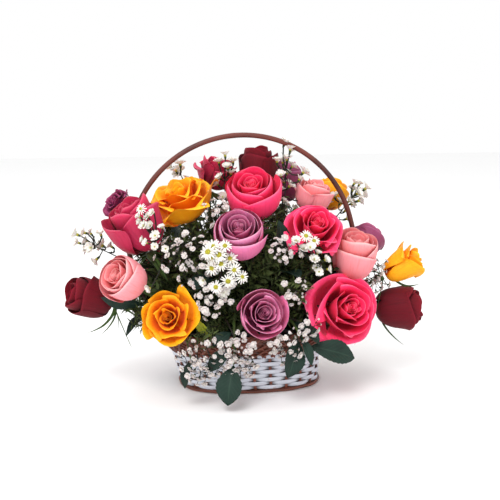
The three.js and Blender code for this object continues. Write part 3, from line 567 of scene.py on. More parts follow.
class Piece:
    """One piece of the arrangement, gathered in a bmesh and then made an object.

    A bmesh is full at a number of corners, and the next parts then go into a new one.
    """

    full = 600

    def __init__(self, name: str, slot: str, finishes: Sequence[Tint | Skin]) -> None:
        """Starts an empty piece.

        Args:
            name: The piece's name.
            slot: The record's slot of the piece; not used.
            finishes: Its finishes, in the order of its material slots.
        """
        self.name = name
        self.slot = slot
        self.finishes = list(finishes)
        self.parts: list[Mesh] = []
        self.open()

    def open(self) -> None:
        """Starts an empty bmesh for the next parts."""
        self.body = bmesh.new()
        self.uv = self.body.loops.layers.uv.new("UVMap")
        self.tone = self.body.verts.layers.float.new("tone")

    def shut(self) -> Mesh:
        """Puts what the bmesh holds away as a mesh.

        Returns:
            The mesh.
        """
        part = bpy.data.meshes.new(self.name)
        self.body.to_mesh(part)
        self.body.free()
        self.parts.append(part)
        return part

    def rest(self) -> None:
        """Starts a new bmesh once this one is large enough to slow its operators down."""
        if len(self.body.verts) > self.full:
            self.shut()
            self.open()

    def stamp(self, shape: Mesh, at: Vector, facing: Vector, roll: float, size: Point) -> None:
        """Adds a copy of a finished shape that stands on the origin and faces up.

        Args:
            shape: The shape.
            at: Where the copy stands.
            facing: The way it faces.
            roll: Its turn about that way.
            size: How far it is stretched along its own three axes.
        """
        self.rest()
        copy = shape.copy()
        turn = turned_to(facing, roll).to_matrix().to_4x4()
        copy.transform(Matrix.Translation(at) @ turn @ Matrix.Diagonal((*size, 1)))
        self.body.from_mesh(copy)
        bpy.data.meshes.remove(copy)

    def skin(
        self, places: np.ndarray, finish: Tint | Skin, tone: np.ndarray | float, flip: bool = False
    ) -> list:
        """Lays a grid of faces through rows and columns of points.

        Args:
            places: The points, by row, column and axis.
            finish: The finish of the faces.
            tone: The number that the mesh holds at each point, or at all of them.
            flip: Whether the faces look the other way.

        Returns:
            The grid's corners.
        """
        rows, columns = places.shape[0] - 1, places.shape[1] - 1
        tones = np.broadcast_to(tone, places.shape[:2])
        made = bmesh.ops.create_grid(self.body, x_segments=columns, y_segments=rows, size=1.0)["verts"]
        faces = {face for vert in made for face in vert.link_faces}
        number = self.finishes.index(finish)
        for face in faces:
            face.material_index = number
            face.smooth = True
            for loop in face.loops:
                across, along, _ = loop.vert.co
                loop[self.uv].uv = ((across + 1) / 2, (along + 1) / 2)
        for vert in made:
            column = round((vert.co.x + 1) / 2 * columns)
            row = round((vert.co.y + 1) / 2 * rows)
            vert.co = places[row, column]
            vert[self.tone] = tones[row, column]
        if flip:
            bmesh.ops.reverse_faces(self.body, faces=list(faces))
        return made

    def sheet(self, middle: np.ndarray, thick: float, finish: Tint | Skin, tone: float) -> None:
        """Makes a thin closed sheet that is thickest in its middle.

        Args:
            middle: The points of its middle surface, by row, column and axis.
            thick: Its thickness.
            finish: Its finish.
            tone: The number that its corners hold.
        """
        self.rest()
        lift = np.cross(np.gradient(middle, axis=1), np.gradient(middle, axis=0))
        lift /= np.maximum(np.linalg.norm(lift, axis=2, keepdims=True), 1e-12)
        lift *= thick / 2
        lift[0] = lift[-1] = 0
        lift[:, 0] = lift[:, -1] = 0
        made = self.skin(middle + lift, finish, tone) + self.skin(middle - lift, finish, tone, flip=True)
        rim = [vert for vert in made if vert.is_boundary]
        for edge in {edge for vert in rim for edge in vert.link_edges if edge.is_boundary}:
            edge.smooth = False
        bmesh.ops.remove_doubles(self.body, verts=rim, dist=MERGE)

    def tube(
        self, path: Sequence[Vector], radius: float | Sequence[float], sides: int, finish: Tint | Skin,
        tone: float = 0.0, looped: bool = False,
    ) -> None:
        """Lays a closed round tube along a path.

        Args:
            path: The points of its middle line.
            radius: Its radius, or one for each point.
            sides: How many sides it has.
            finish: Its finish.
            tone: The number that its corners hold.
            looped: Whether the path comes back to its own start.
        """
        self.rest()
        line = np.array([tuple(point) for point in path])
        radii = np.broadcast_to(radius, len(line))
        ahead = np.roll(line, -1, axis=0) - np.roll(line, 1, axis=0) if looped else np.gradient(line, axis=0)
        ahead /= np.linalg.norm(ahead, axis=1, keepdims=True)
        if looped:
            side = np.cross(ahead, tuple(UP))
            side /= np.linalg.norm(side, axis=1, keepdims=True)
        else:
            side = np.zeros_like(line)
            start = np.cross(ahead[0], tuple(UP) if abs(ahead[0][2]) < 0.9 else (1.0, 0.0, 0.0))
            for k, way in enumerate(ahead):
                start = start - way * np.dot(start, way)
                start /= np.linalg.norm(start)
                side[k] = start
        other = np.cross(ahead, side)
        turn = np.linspace(0, TURN, sides + 1)
        rings = line[:, None] + radii[:, None, None] * (
            np.cos(turn)[None, :, None] * side[:, None] + np.sin(turn)[None, :, None] * other[:, None]
        )
        if looped:
            rings = np.concatenate([rings, rings[:1]])
        else:
            ends = [np.repeat(line[k][None, None], sides + 1, axis=1) for k in (0, -1)]
            rings = np.concatenate([ends[0], rings, ends[1]])
        made = self.skin(rings, finish, tone)
        bmesh.ops.remove_doubles(self.body, verts=made, dist=MERGE)

    def spun(self, profile: Sequence[Pair], steps: int, shape: Callable, finish: Tint | Skin) -> None:
        """Spins a closed profile about the upright axis and then shapes what it made.

        Args:
            profile: Radius and height of each corner, from the axis round to the axis, or closed.
            steps: The steps of the full turn.
            shape: Moves one corner, given its angle, radius and height.
            finish: Its finish.
        """
        corners = [self.body.verts.new((radius, 0.0, height)) for radius, height in profile]
        edges = [self.body.edges.new(pair) for pair in zip(corners, corners[1:])]
        full = {"cent": (0, 0, 0), "axis": (0, 0, 1), "angle": TURN, "steps": steps, "use_merge": True}
        bmesh.ops.spin(self.body, geom=corners + edges, **full)
        bmesh.ops.remove_doubles(self.body, verts=list(self.body.verts), dist=1e-6)
        bmesh.ops.recalc_face_normals(self.body, faces=list(self.body.faces))
        number = self.finishes.index(finish)
        for face in self.body.faces:
            face.smooth = True
            face.material_index = number
            for loop in face.loops:
                x, y, z = loop.vert.co
                loop[self.uv].uv = (z * 10, math.atan2(y, x) / TURN + 0.5)
        for vert in self.body.verts:
            x, y, z = vert.co
            vert.co = shape(math.atan2(y, x), math.hypot(x, y), z)

    def done(self, replaced: str = "") -> None:
        """Makes the object, which rides with the frame.

        Args:
            replaced: The node that it stands for, where the frame has that node.
        """
        self.shut()
        joined = bmesh.new()
        for part in self.parts:
            joined.from_mesh(part)
            bpy.data.meshes.remove(part)
        mesh = bpy.data.meshes.new(self.name)
        joined.to_mesh(mesh)
        joined.free()
        for finish in self.finishes:
            mesh.materials.append(dressing(finish))
        made = bpy.data.objects.new(self.name, mesh)
        bpy.context.scene.collection.objects.link(made)
        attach(made, "root")
        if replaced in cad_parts:
            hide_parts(replaced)
        LOG.info("%s: %d faces", self.name, len(mesh.polygons))


@dataclass(frozen=True)
class View:
    """The photograph's viewpoint: where it looks from, and its picture of 500 by 500 pixels."""

    azimuth: float = math.radians(-8)
    elevation: float = math.radians(11)
    distance: float = 1.2
    target: Point = (0.001, 0.0, 0.167)
    focal: float = 960.0
    middle: float = 250.0
    sensor: float = 36.0

    def axes(self) -> tuple[Vector, Vector, Vector]:
        """The directions of the picture.

        Returns:
            Those to its right, to its top and back to the camera.
        """
        flat = math.cos(self.elevation)
        away = (math.sin(self.azimuth) * flat, -math.cos(self.azimuth) * flat)
        back = Vector((*away, math.sin(self.elevation)))
        right = UP.cross(back).normalized()
        return right, back.cross(right), back

    def at(self, pixel: Pair, depth: float) -> Vector:
        """The point that shows at a pixel of the photograph, where its line of sight reaches a depth.

        Args:
            pixel: The pixel, from the picture's top left.
            depth: The point's y.

        Returns:
            The point.
        """
        right, above, back = self.axes()
        eye = Vector(self.target) + back * self.distance
        across, down = (value - self.middle for value in pixel)
        ray = right * across / self.focal - above * down / self.focal - back
        return eye + ray * ((depth - eye.y) / ray.y)

    def camera(self) -> bpy.types.Object:
        """Makes the camera.

        Returns:
            The camera.
        """
        data = bpy.data.cameras.new("camera")
        data.sensor_width = self.sensor
        data.lens = self.sensor * self.focal / (2 * self.middle)
        made = bpy.data.objects.new("camera", data)
        axes = self.axes()
        turn = Matrix(axes).transposed().to_4x4()
        made.matrix_world = Matrix.Translation(Vector(self.target) + axes[2] * self.distance) @ turn
        bpy.context.scene.collection.objects.link(made)
        return made


VIEW = View()


@dataclass(frozen=True)
class Layer:
    """One ring of petals, in shares of the bloom's half width and of its height."""

    petals: int
    spread: float
    belly: Pair
    shoulder: Pair
    tip: Pair
    curl: float = 0.03
    point: float = 0.0


@dataclass(frozen=True)
class RoseShape:
    """How far open a rose is: its height as a share of its width, its rolled heart and its layers.

    A petal's corners lie lower than its tip by the share given as lobe.
    """

    tall: float
    heart: float
    brow: float
    wave: float
    lobe: float
    layers: tuple[Layer, ...]


class Form(Enum):
    """The forms of the roses, from tight bud to fully open."""

    BUD = RoseShape(1.2, 0.22, 0.9, 0.012, 0.12, (
        Layer(3, 80, (0.28, 0.2), (0.34, 0.8), (0.28, 0.95), 0.03),
        Layer(3, 78, (0.46, 0.12), (0.52, 0.8), (0.48, 1.0), 0.06, 0.01),
        Layer(3, 76, (0.7, 0.06), (0.74, 0.7), (0.74, 0.95), 0.1, 0.03),
        Layer(3, 78, (0.92, 0.0), (0.92, 0.6), (1.0, 0.88), 0.12, 0.08),
    ))
    SHUT = RoseShape(1.2, 0.2, 0.84, 0.012, 0.08, (
        Layer(3, 80, (0.26, 0.22), (0.36, 0.8), (0.26, 0.92), 0.03),
        Layer(3, 82, (0.46, 0.14), (0.58, 0.84), (0.44, 0.99), 0.04),
        Layer(3, 86, (0.76, 0.06), (0.86, 0.76), (0.64, 0.97), 0.05, 0.01),
        Layer(3, 88, (1.0, 0.0), (1.06, 0.6), (0.84, 0.88), 0.07, 0.03),
    ))
    PLUMP = RoseShape(1.2, 0.2, 0.78, 0.016, 0.08, (
        Layer(3, 80, (0.26, 0.2), (0.36, 0.72), (0.26, 0.84), 0.03),
        Layer(3, 82, (0.5, 0.12), (0.64, 0.76), (0.48, 0.9), 0.05),
        Layer(3, 86, (0.82, 0.04), (0.92, 0.68), (0.7, 0.87), 0.06, 0.02),
        Layer(3, 86, (1.06, 0.0), (1.1, 0.54), (0.92, 0.78), 0.08, 0.04),
    ))
    GLOBE = RoseShape(0.9, 0.18, 0.88, 0.016, 0.14, (
        Layer(3, 78, (0.22, 0.25), (0.3, 0.8), (0.25, 0.93), 0.03),
        Layer(3, 78, (0.34, 0.2), (0.43, 0.86), (0.38, 1.0), 0.05),
        Layer(4, 70, (0.48, 0.14), (0.58, 0.84), (0.53, 0.98), 0.07, 0.01),
        Layer(3, 84, (0.74, 0.06), (0.84, 0.74), (0.72, 0.92), 0.08, 0.01),
        Layer(3, 84, (1.02, 0.0), (1.06, 0.6), (0.9, 0.8), 0.08, 0.01),
    ))
    BALL = RoseShape(0.9, 0.18, 0.88, 0.012, 0.1, (
        Layer(3, 78, (0.22, 0.25), (0.3, 0.8), (0.25, 0.93), 0.03),
        Layer(3, 78, (0.36, 0.2), (0.46, 0.86), (0.4, 1.0), 0.04),
        Layer(3, 82, (0.54, 0.14), (0.68, 0.86), (0.6, 1.0), 0.05),
        Layer(3, 86, (0.8, 0.06), (0.9, 0.8), (0.66, 0.95), 0.04),
        Layer(3, 88, (1.06, 0.0), (1.1, 0.66), (0.84, 0.9), 0.04),
    ))
    OPEN = RoseShape(0.72, 0.15, 0.88, 0.026, 0.2, (
        Layer(3, 80, (0.18, 0.25), (0.24, 0.82), (0.2, 0.93), 0.04),
        Layer(3, 80, (0.28, 0.2), (0.37, 0.88), (0.32, 1.0), 0.06, 0.01),
        Layer(3, 80, (0.42, 0.14), (0.55, 0.84), (0.5, 0.97), 0.09, 0.02),
        Layer(4, 72, (0.62, 0.08), (0.77, 0.72), (0.72, 0.84), 0.12, 0.02),
        Layer(4, 68, (0.86, 0.0), (1.0, 0.5), (0.99, 0.66), 0.15, 0.05),
    ))
    WAVY = RoseShape(0.72, 0.15, 0.86, 0.05, 0.1, (
        Layer(3, 80, (0.2, 0.25), (0.28, 0.8), (0.23, 0.92), 0.04),
        Layer(3, 78, (0.36, 0.18), (0.48, 0.84), (0.43, 0.95), 0.08, 0.01),
        Layer(5, 50, (0.6, 0.1), (0.74, 0.72), (0.76, 0.86), 0.1, 0.02),
        Layer(5, 46, (0.84, 0.02), (0.98, 0.5), (1.04, 0.72), 0.1, 0.03),
    ))
    WIDE = RoseShape(0.56, 0.16, 0.86, 0.045, 0.18, (
        Layer(3, 76, (0.22, 0.3), (0.3, 0.8), (0.27, 0.92), 0.05, 0.01),
        Layer(4, 64, (0.38, 0.2), (0.5, 0.84), (0.5, 0.99), 0.09, 0.02),
        Layer(5, 56, (0.58, 0.12), (0.74, 0.74), (0.76, 0.9), 0.11, 0.04),
        Layer(5, 54, (0.84, 0.0), (1.0, 0.52), (1.02, 0.74), 0.12, 0.05),
    ))
    REFLEXED = RoseShape(0.8, 0.2, 0.88, 0.018, 0.14, (
        Layer(3, 78, (0.26, 0.25), (0.36, 0.82), (0.3, 0.94), 0.04),
        Layer(3, 76, (0.44, 0.18), (0.56, 0.84), (0.5, 1.0), 0.08, 0.01),
        Layer(4, 72, (0.8, 0.05), (0.92, 0.7), (0.82, 0.92), 0.12, 0.05),
        Layer(3, 54, (0.94, 0.0), (0.98, 0.74), (1.08, 0.52), 0.06, 0.16),
    ))


@dataclass(frozen=True)
class Bloom:
    """A rose: its middle and the way it faces, its width across the petals, its form and its colour.

    Its middle and width are in millimetres, as lengths are in the tables of stems, leaves and sprays.
    Its largest outer petal leans out along the direction given as hang, the more the longer that is.
    Its petals stand out round its solid by the share given as swell.
    """

    name: str
    at: Point
    facing: Point
    across: float
    form: Form
    tint: Tint
    hang: Point = (0.0, 0.0, 0.0)
    swell: float = 1.0

    @property
    def width(self) -> float:
        """Its width in metres."""
        return self.across / 1000

    @property
    def tall(self) -> float:
        """Its height from its base to its brow."""
        return self.form.value.tall * self.width

    @property
    def axis(self) -> Vector:
        """The direction it faces."""
        return Vector(self.facing).normalized()

    @property
    def base(self) -> Vector:
        """Where its petals meet its hip."""
        return metres(self.at) - self.axis * self.tall / 2

    @property
    def hip(self) -> float:
        """The radius of its hip."""
        return max(0.0045, self.width * 0.09)

    @property
    def room(self) -> float:
        """The radius of the ball of room that it takes, smaller for a flat bloom."""
        return min(1.0, 1.9 * self.form.value.tall - 0.37) * self.width / 2 * self.swell


BLOOMS = (
    Bloom("rose_yellow_low_left", (-106, -92, 108), (-0.2, -0.95, 0.35), 70, Form.WAVY, Tint.YELLOW,
          (0.2, 0, 0.15), 0.95),
    Bloom("rose_lavender_low", (1, -102, 111), (0.05, -0.9, 0.35), 60, Form.GLOBE, Tint.LAVENDER,
          (0.2, 0, -0.12), 0.95),
    Bloom("rose_pink_low_right", (103, -72, 105), (0.3, -0.92, 0.36), 88, Form.OPEN, Tint.PINK,
          (-0.28, 0, -0.14), 1.05),
    Bloom("rose_red_right", (187, -22, 94), (1, -0.3, 0.05), 52, Form.SHUT, Tint.RED, (0.0, -0.2, -0.1),
          1.06),
    Bloom("rose_red_left", (-196, -30, 119), (-0.9, -0.2, 0.35), 48, Form.SHUT, Tint.RED, (0.0, -0.3, 0.1),
          1.06),
    Bloom("rose_blush_left", (-156, -74, 151), (-0.65, -0.55, 0.5), 56, Form.BALL, Tint.BLUSH,
          (0.06, -0.04, -0.08), 0.94),
    Bloom("rose_magenta_left", (-141, -44, 210), (-0.4, -0.1, 0.9), 62, Form.PLUMP, Tint.MAGENTA,
          (-0.3, 0.0, -0.3), 1.04),
    Bloom("rose_yellow_top_left", (-83, -6, 228), (-0.4, -0.2, 0.85), 82, Form.WIDE, Tint.YELLOW,
          (-0.6, -0.1, -0.4), 1.14),
    Bloom("rose_magenta_top", (-37, 42, 256), (0.3, 0.1, 0.95), 50, Form.REFLEXED, Tint.MAGENTA,
          (-0.4, 0, 0.1), 1.16),
    Bloom("rose_red_top", (15, 32, 265), (0.05, 0.1, 1), 47, Form.SHUT, Tint.RED, (0.3, 0, 0), 1.04),
    Bloom("rose_pink_top", (1, -22, 237), (-0.15, -0.5, 0.8), 64, Form.BALL, Tint.PINK, (0.3, -0.2, -0.2),
          1.03),
    Bloom("rose_lavender_middle", (-22, -72, 198), (-0.1, -0.7, 0.68), 60, Form.BALL, Tint.LAVENDER,
          (0, 0, -0.1), 1.03),
    Bloom("rose_pink_right", (71, -56, 200), (0.05, -0.7, 0.65), 72, Form.OPEN, Tint.PINK, (-0.1, 0, 0.02),
          1.04),
    Bloom("rose_mauve_top_right", (53, 50, 243), (0.1, 0.1, 1), 42, Form.SHUT, Tint.MAUVE, (0, 0, 0), 1.1),
    Bloom("rose_blush_top_right", (81, 5, 233), (0.25, -0.1, 0.9), 48, Form.GLOBE, Tint.BLUSH),
    Bloom("rose_yellow_top_right", (112, 46, 229), (0.3, 0.3, 0.85), 48, Form.GLOBE, Tint.YELLOW),
    Bloom("rose_blush_right", (124, -43, 164), (0.05, -0.36, 0.92), 54, Form.SHUT, Tint.BLUSH,
          (-0.1, -0.2, 0), 1.02),
    Bloom("rose_mauve_right", (158, 34, 170), (0.5, 0.4, 0.6), 46, Form.GLOBE, Tint.MAUVE),
    Bloom("rose_yellow_bud_right", (191, -22, 146), (0.85, -0.1, 0.5), 44, Form.BUD, Tint.YELLOW,
          (-0.05, 0, 0.4), 1.06),
    Bloom("rose_pink_back_left", (-98, 78, 140), (-0.4, 0.9, 0.4), 66, Form.OPEN, Tint.PINK),
    Bloom("rose_lavender_back", (6, 94, 168), (0.05, 0.9, 0.5), 64, Form.GLOBE, Tint.LAVENDER),
    Bloom("rose_yellow_back_right", (104, 84, 128), (0.4, 0.9, 0.3), 64, Form.WAVY, Tint.YELLOW),
    Bloom("rose_mauve_far_left", (-161, -2, 228), (-0.7, -0.5, 0.6), 42, Form.WAVY, Tint.PLUM_IN_SHADE),
)


@dataclass(frozen=True)
class StemGroup:
    """Stems that leave the foam together: where, and the blooms that they carry."""

    name: str
    hole: Pair
    carries: tuple[str, ...]


STEM_GROUPS = (
    StemGroup("stems_front_left", (-50, -22), ("rose_yellow_low_left", "rose_blush_left")),
    StemGroup("stems_left", (-62, -6), ("rose_red_left", "rose_magenta_left", "rose_yellow_top_left")),
    StemGroup("stems_front", (-12, -34), ("rose_lavender_low", "rose_lavender_middle")),
    StemGroup("stems_front_right", (28, -28),
              ("rose_pink_low_right", "rose_pink_right", "rose_blush_right")),
    StemGroup("stems_right", (46, -12), ("rose_red_right", "rose_yellow_bud_right", "rose_mauve_right")),
    StemGroup("stems_top", (-12, -4), ("rose_pink_top", "rose_red_top", "rose_magenta_top")),
    StemGroup("stems_top_right", (22, 4),
              ("rose_blush_top_right", "rose_yellow_top_right", "rose_mauve_top_right")),
    StemGroup("stems_back", (0, 32),
              ("rose_pink_back_left", "rose_lavender_back", "rose_yellow_back_right")),
)


class Room:
    """The room that the blooms take, which stems, twigs and needles keep out of."""

    def __init__(self, blooms: Sequence[Bloom]) -> None:
        """Takes a ball of room for each bloom."""
        self.balls = [(metres(bloom.at), bloom.room, bloom.name) for bloom in blooms]

    def blocked(self, point: Vector, spare: float) -> bool:
        """Whether a point lies in a bloom, or nearer to one than it may."""
        return any((point - middle).length < radius + spare for middle, radius, _ in self.balls)

    def bent(self, points: Sequence[Vector], spare: float, count: int, owner: str = "") -> list[Vector]:
        """A smooth route through some points, bent clear of every bloom but its own.

        Args:
            points: The points that it would pass; its two ends stay put.
            spare: How far it keeps from a bloom.
            count: How many steps it has.
            owner: The bloom that it may touch.

        Returns:
            The points of the route.
        """
        route = flowing(points, count)
        for turn in range(30):
            for k in range(1, count):
                if turn < 22:
                    route[k] = route[k].lerp((route[k - 1] + route[k + 1]) / 2, 0.3)
                for middle, radius, name in self.balls:
                    away = route[k] - middle
                    need = radius + spare
                    if name != owner and away.length < need:
                        route[k] = middle + away.normalized() * need
        return route


@dataclass
class Rose:
    """A rose bloom: a rolled heart in layers of petals that open towards the outside.

    Its number seeds its small irregularities.
    """

    bloom: Bloom
    number: int
    petal_grid: tuple[int, int] = (12, 12)
    heart_grid: tuple[int, int] = (48, 6)
    thick: float = 0.0005
    heart_turns: float = 2.6
    pinwheel: float = 0.06
    lip_start: float = 0.66
    root: Pair = (0.06, 0.05)

    def __post_init__(self) -> None:
        """Sets up the bloom's piece, its place and how wide its outer petals would reach."""
        bloom = self.bloom
        self.shape = bloom.form.value
        self.draw = Random(900 + self.number)
        # The darker copy of mauve, partly painted shade, takes the mauve petals' slot.
        slot = (Tint.MAUVE if bloom.tint is Tint.PLUM_IN_SHADE else bloom.tint).value.slot
        self.piece = Piece(f"{bloom.name}_petals", slot, [bloom.tint])
        turn = turned_to(bloom.axis, self.number * 1.3)
        lean = turn.inverted() @ Vector(bloom.hang)
        self.hang = math.atan2(lean.y, lean.x)
        self.pull = Vector(bloom.hang).length
        self.matrix = np.array(Matrix.Translation(bloom.base) @ turn.to_matrix().to_4x4())
        outer = self.shape.layers[-1]
        along = np.linspace(0, 1, 30)
        radius, _ = self.rib(np.array((self.root, outer.belly, outer.shoulder, outer.tip)), along)
        self.widest = float(np.max(radius + outer.curl * ease(self.lip_start, 1.0, along))) * 1.04

    def placed(self, radius: np.ndarray, angle: np.ndarray, height: np.ndarray) -> np.ndarray:
        """Moves points of the bloom to their place.

        Args:
            radius: How far they lie from its axis, as shares of its half width.
            angle: Their angle about the axis.
            height: How high they lie, as shares of its height.

        Returns:
            The points.
        """
        half = self.bloom.width / 2 / self.widest * self.bloom.swell
        tall = self.bloom.tall * self.bloom.swell
        flat = (radius * half * np.cos(angle), radius * half * np.sin(angle), height * tall)
        return (np.stack((*flat, np.ones_like(radius)), axis=-1) @ self.matrix.T)[..., :3]

    @staticmethod
    def rib(knots: np.ndarray, share: np.ndarray) -> tuple[np.ndarray, np.ndarray]:
        """A petal's middle line.

        Args:
            knots: The radius and height of its root, belly, shoulder and tip.
            share: How far along the line the wanted points lie, from 0 to 1.

        Returns:
            Their radius and their height.
        """
        rest = 1 - share
        weights = (rest**3, 3 * rest**2 * share, 3 * rest * share**2, share**3)
        return sum(w * k[0] for w, k in zip(weights, knots)), sum(w * k[1] for w, k in zip(weights, knots))

    def petal(self, layer: Layer, azimuth: float, age: float) -> None:
        """Adds one petal.

        Args:
            layer: The layer that it belongs to.
            azimuth: Where it stands round the bloom.
            age: From 0 in the heart to 1 in the outer layer.
        """
        knots = np.array((self.root, layer.belly, layer.shoulder, layer.tip))
        knots[1:] *= 1 + self.draw.uniform(-0.05, 0.03) * (0.4 + age)
        if layer is self.shape.layers[-1]:
            lean = self.pull * max(0.0, math.cos(azimuth - self.hang)) ** 3
            knots[2:, 0] *= 1 + 0.22 * lean
            knots[3] += np.array((0.16, -0.16)) * lean
        spread = math.radians(layer.spread * self.draw.uniform(0.92, 1.06))
        phase = self.draw.uniform(0, 6.3)
        fold = self.draw.uniform(0.7, 1.3)
        across, along = lattice(*self.petal_grid)
        radius, height = self.rib(knots, along * (1 - self.shape.lobe * across**2 * along))
        width = np.sqrt(np.sin(math.pi / 2 * along)) * (1 - 0.2 * along**4)
        lip = ease(self.lip_start, 1.0, along)
        rolled = layer.curl * fold * lip * (1 + 0.8 * across**2)
        wave = self.shape.wave * along**3
        radius = radius + rolled + wave * np.sin(4 * across + phase)
        height = height - 0.8 * rolled * lip**2 + layer.point * lip * (1 - np.abs(across)) ** 1.5
        height = height + wave * np.cos(5 * across + 2 * phase)
        radius = radius * (1 + self.pinwheel * across)
        middle = self.placed(radius, azimuth + spread * across * width, height)
        self.piece.sheet(middle, self.thick, self.bloom.tint, age)

    def heart(self) -> None:
        """Adds the rolled heart: one long petal wound round the axis."""
        reach, brow = self.shape.heart, self.shape.brow
        across, along = lattice(*self.heart_grid)
        share = (across + 1) / 2
        angle = self.heart_turns * TURN * share
        lip = ease(0.6, 1.0, along)
        radius = (0.02 + reach * share) * (0.55 + 0.45 * np.sin(math.pi / 2 * along)) + 0.03 * lip
        height = 0.3 + (brow - 0.3) * along * (1 + 0.04 * np.sin(3 * angle)) - 0.02 * lip
        self.piece.sheet(self.placed(radius, angle, height), self.thick, self.bloom.tint, 0.02)

    def build(self) -> None:
        """Builds the bloom."""
        self.heart()
        layers = self.shape.layers
        start = 0.0
        for number, layer in enumerate(layers, 1):
            start += 0.4 * TURN / layer.petals
            if layer is layers[-1] and self.pull:
                start = self.hang
            for k in range(layer.petals):
                azimuth = start + TURN * k / layer.petals + self.draw.uniform(-0.09, 0.09)
                self.petal(layer, azimuth, 0.1 + 0.9 * number / len(layers) - 0.04 * self.draw.random())
        self.piece.done(self.bloom.name)


class Greens(Piece):
    """A piece with leaves, sepals or needles."""

    thick = 0.0007

    def leaf(self, base: Vector, tip: Vector, half: float, finish: Skin, draw: Random) -> None:
        """Adds a pointed leaf that is folded along its midrib, arched and finely toothed.

        Args:
            base: Its base.
            tip: Its tip.
            half: Half its width.
            finish: Its finish.
            draw: Where its small irregularities come from.
        """
        along_way = tip - base
        outward = Vector((base.x + tip.x, base.y + tip.y, 0.06)).normalized()
        side_way = along_way.cross(outward).normalized()
        above = side_way.cross(along_way).normalized()
        arch = 0.1 * along_way.length * draw.uniform(0.7, 1.4)
        fold = draw.uniform(0.22, 0.4)
        phase = draw.uniform(0, 6.3)
        rows = 20
        across, along = lattice(6, rows)
        tooth = 1 - 0.05 * (np.round(along * rows) % 2) * np.abs(across) ** 4
        width = half * np.sin(math.pi * along**1.15) ** 0.8 * tooth
        lift = arch * np.sin(math.pi * along) + fold * width * np.abs(across)
        lift = lift + 0.05 * half * np.sin(9 * along + 3 * across + phase)
        middle = reached(base, (along, along_way), (across * width, side_way), (lift, above))
        self.sheet(middle, self.thick, finish, draw.random())

    def needle(self, base: Vector, tip: Vector, half: float, finish: Skin, tone: float) -> None:
        """Adds a small narrow leaf.

        Args:
            base: Its base.
            tip: Its tip.
            half: Half its width.
            finish: Its finish.
            tone: The number that its corners hold.
        """
        way = tip - base
        side = way.cross(UP if abs(way.normalized().z) < 0.9 else Vector((1, 0, 0))).normalized()
        above = side.cross(way) * 0.14
        across, along = lattice(2, 3 if half > 0.1 else 2)
        width = half * np.sin(math.pi * along) ** 0.7
        middle = reached(base, (along, way), (across * width, side), (np.sin(math.pi * along), above))
        self.sheet(middle, 0.04 * way.length, finish, tone)

    def wisp(self, points: Sequence[Vector], half: float, finish: Skin, tone: float) -> None:
        """Adds a long narrow leaf that follows a curve and tapers to its tip.

        Args:
            points: The points that the curve passes.
            half: Half its width at its broadest.
            finish: Its finish.
            tone: The number that its corners hold.
        """
        rows = 12
        line = np.array([tuple(point) for point in flowing(points, rows)])
        ahead = np.gradient(line, axis=0)
        side = np.cross(ahead, np.array(VIEW.axes()[2]) + np.array((0.3, 0.0, 0.5)))
        side /= np.linalg.norm(side, axis=1, keepdims=True)
        width = half * (1 - np.linspace(0, 1, rows + 1) ** 2)[:, None] * side
        across, _ = lattice(2, rows)
        self.sheet(line[:, None] + across[..., None] * width[:, None], self.thick, finish, tone)


class Needles:
    """A few shapes of small leaf, made once and then stamped wherever one grows."""

    def __init__(self, finishes: Sequence[Skin], finish: Skin, slender: float, count: int = 6) -> None:
        """Makes the shapes, each one metre long from its base at the origin.

        Args:
            finishes: The finishes of the pieces that they are stamped into.
            finish: Their own finish.
            slender: Half their width, as a share of their length.
            count: How many shapes there are.
        """
        self.shapes = []
        for number in range(count):
            draft = Greens("needle", "fern", finishes)
            draft.needle(Vector(), UP.copy(), slender, finish, number / count)
            self.shapes.append(draft.shut())

    def lay(self, piece: Piece, base: Vector, tip: Vector, broad: float, draw: Random) -> None:
        """Stamps one of the shapes.

        Args:
            piece: The piece that it is stamped into.
            base: Its base.
            tip: Its tip.
            broad: Its breadth as a share of the usual.
            draw: Where its shape and turn come from.
        """
        way = tip - base
        girth = way.length * broad
        roll = draw.uniform(0, 6.3)
        piece.stamp(draw.choice(self.shapes), base, way.normalized(), roll, (girth, girth, way.length))


# Long narrow sepals that show in the photograph: their depth and half width in metres, and their pixels
WISPS = {
    "stems_left": (
        (-0.026, 0.0020, ((116, 300), (113, 314), (104, 325), (93, 331), (86, 333))),
        (-0.024, 0.0014, ((116, 300), (115, 316), (108, 328), (99, 336))),
    ),
    "stems_right": (
        (-0.020, 0.0018, ((376, 306), (384, 325), (394, 337), (405, 346))),
        (-0.022, 0.0022, ((395, 279), (394, 268), (399, 259), (404, 252))),
        (-0.024, 0.0018, ((395, 280), (401, 284), (409, 286), (420, 284))),
    ),
}

# Blooms on a side shoot, by the bloom whose stem it leaves
SHOOTS = {"rose_magenta_left": "rose_mauve_far_left"}


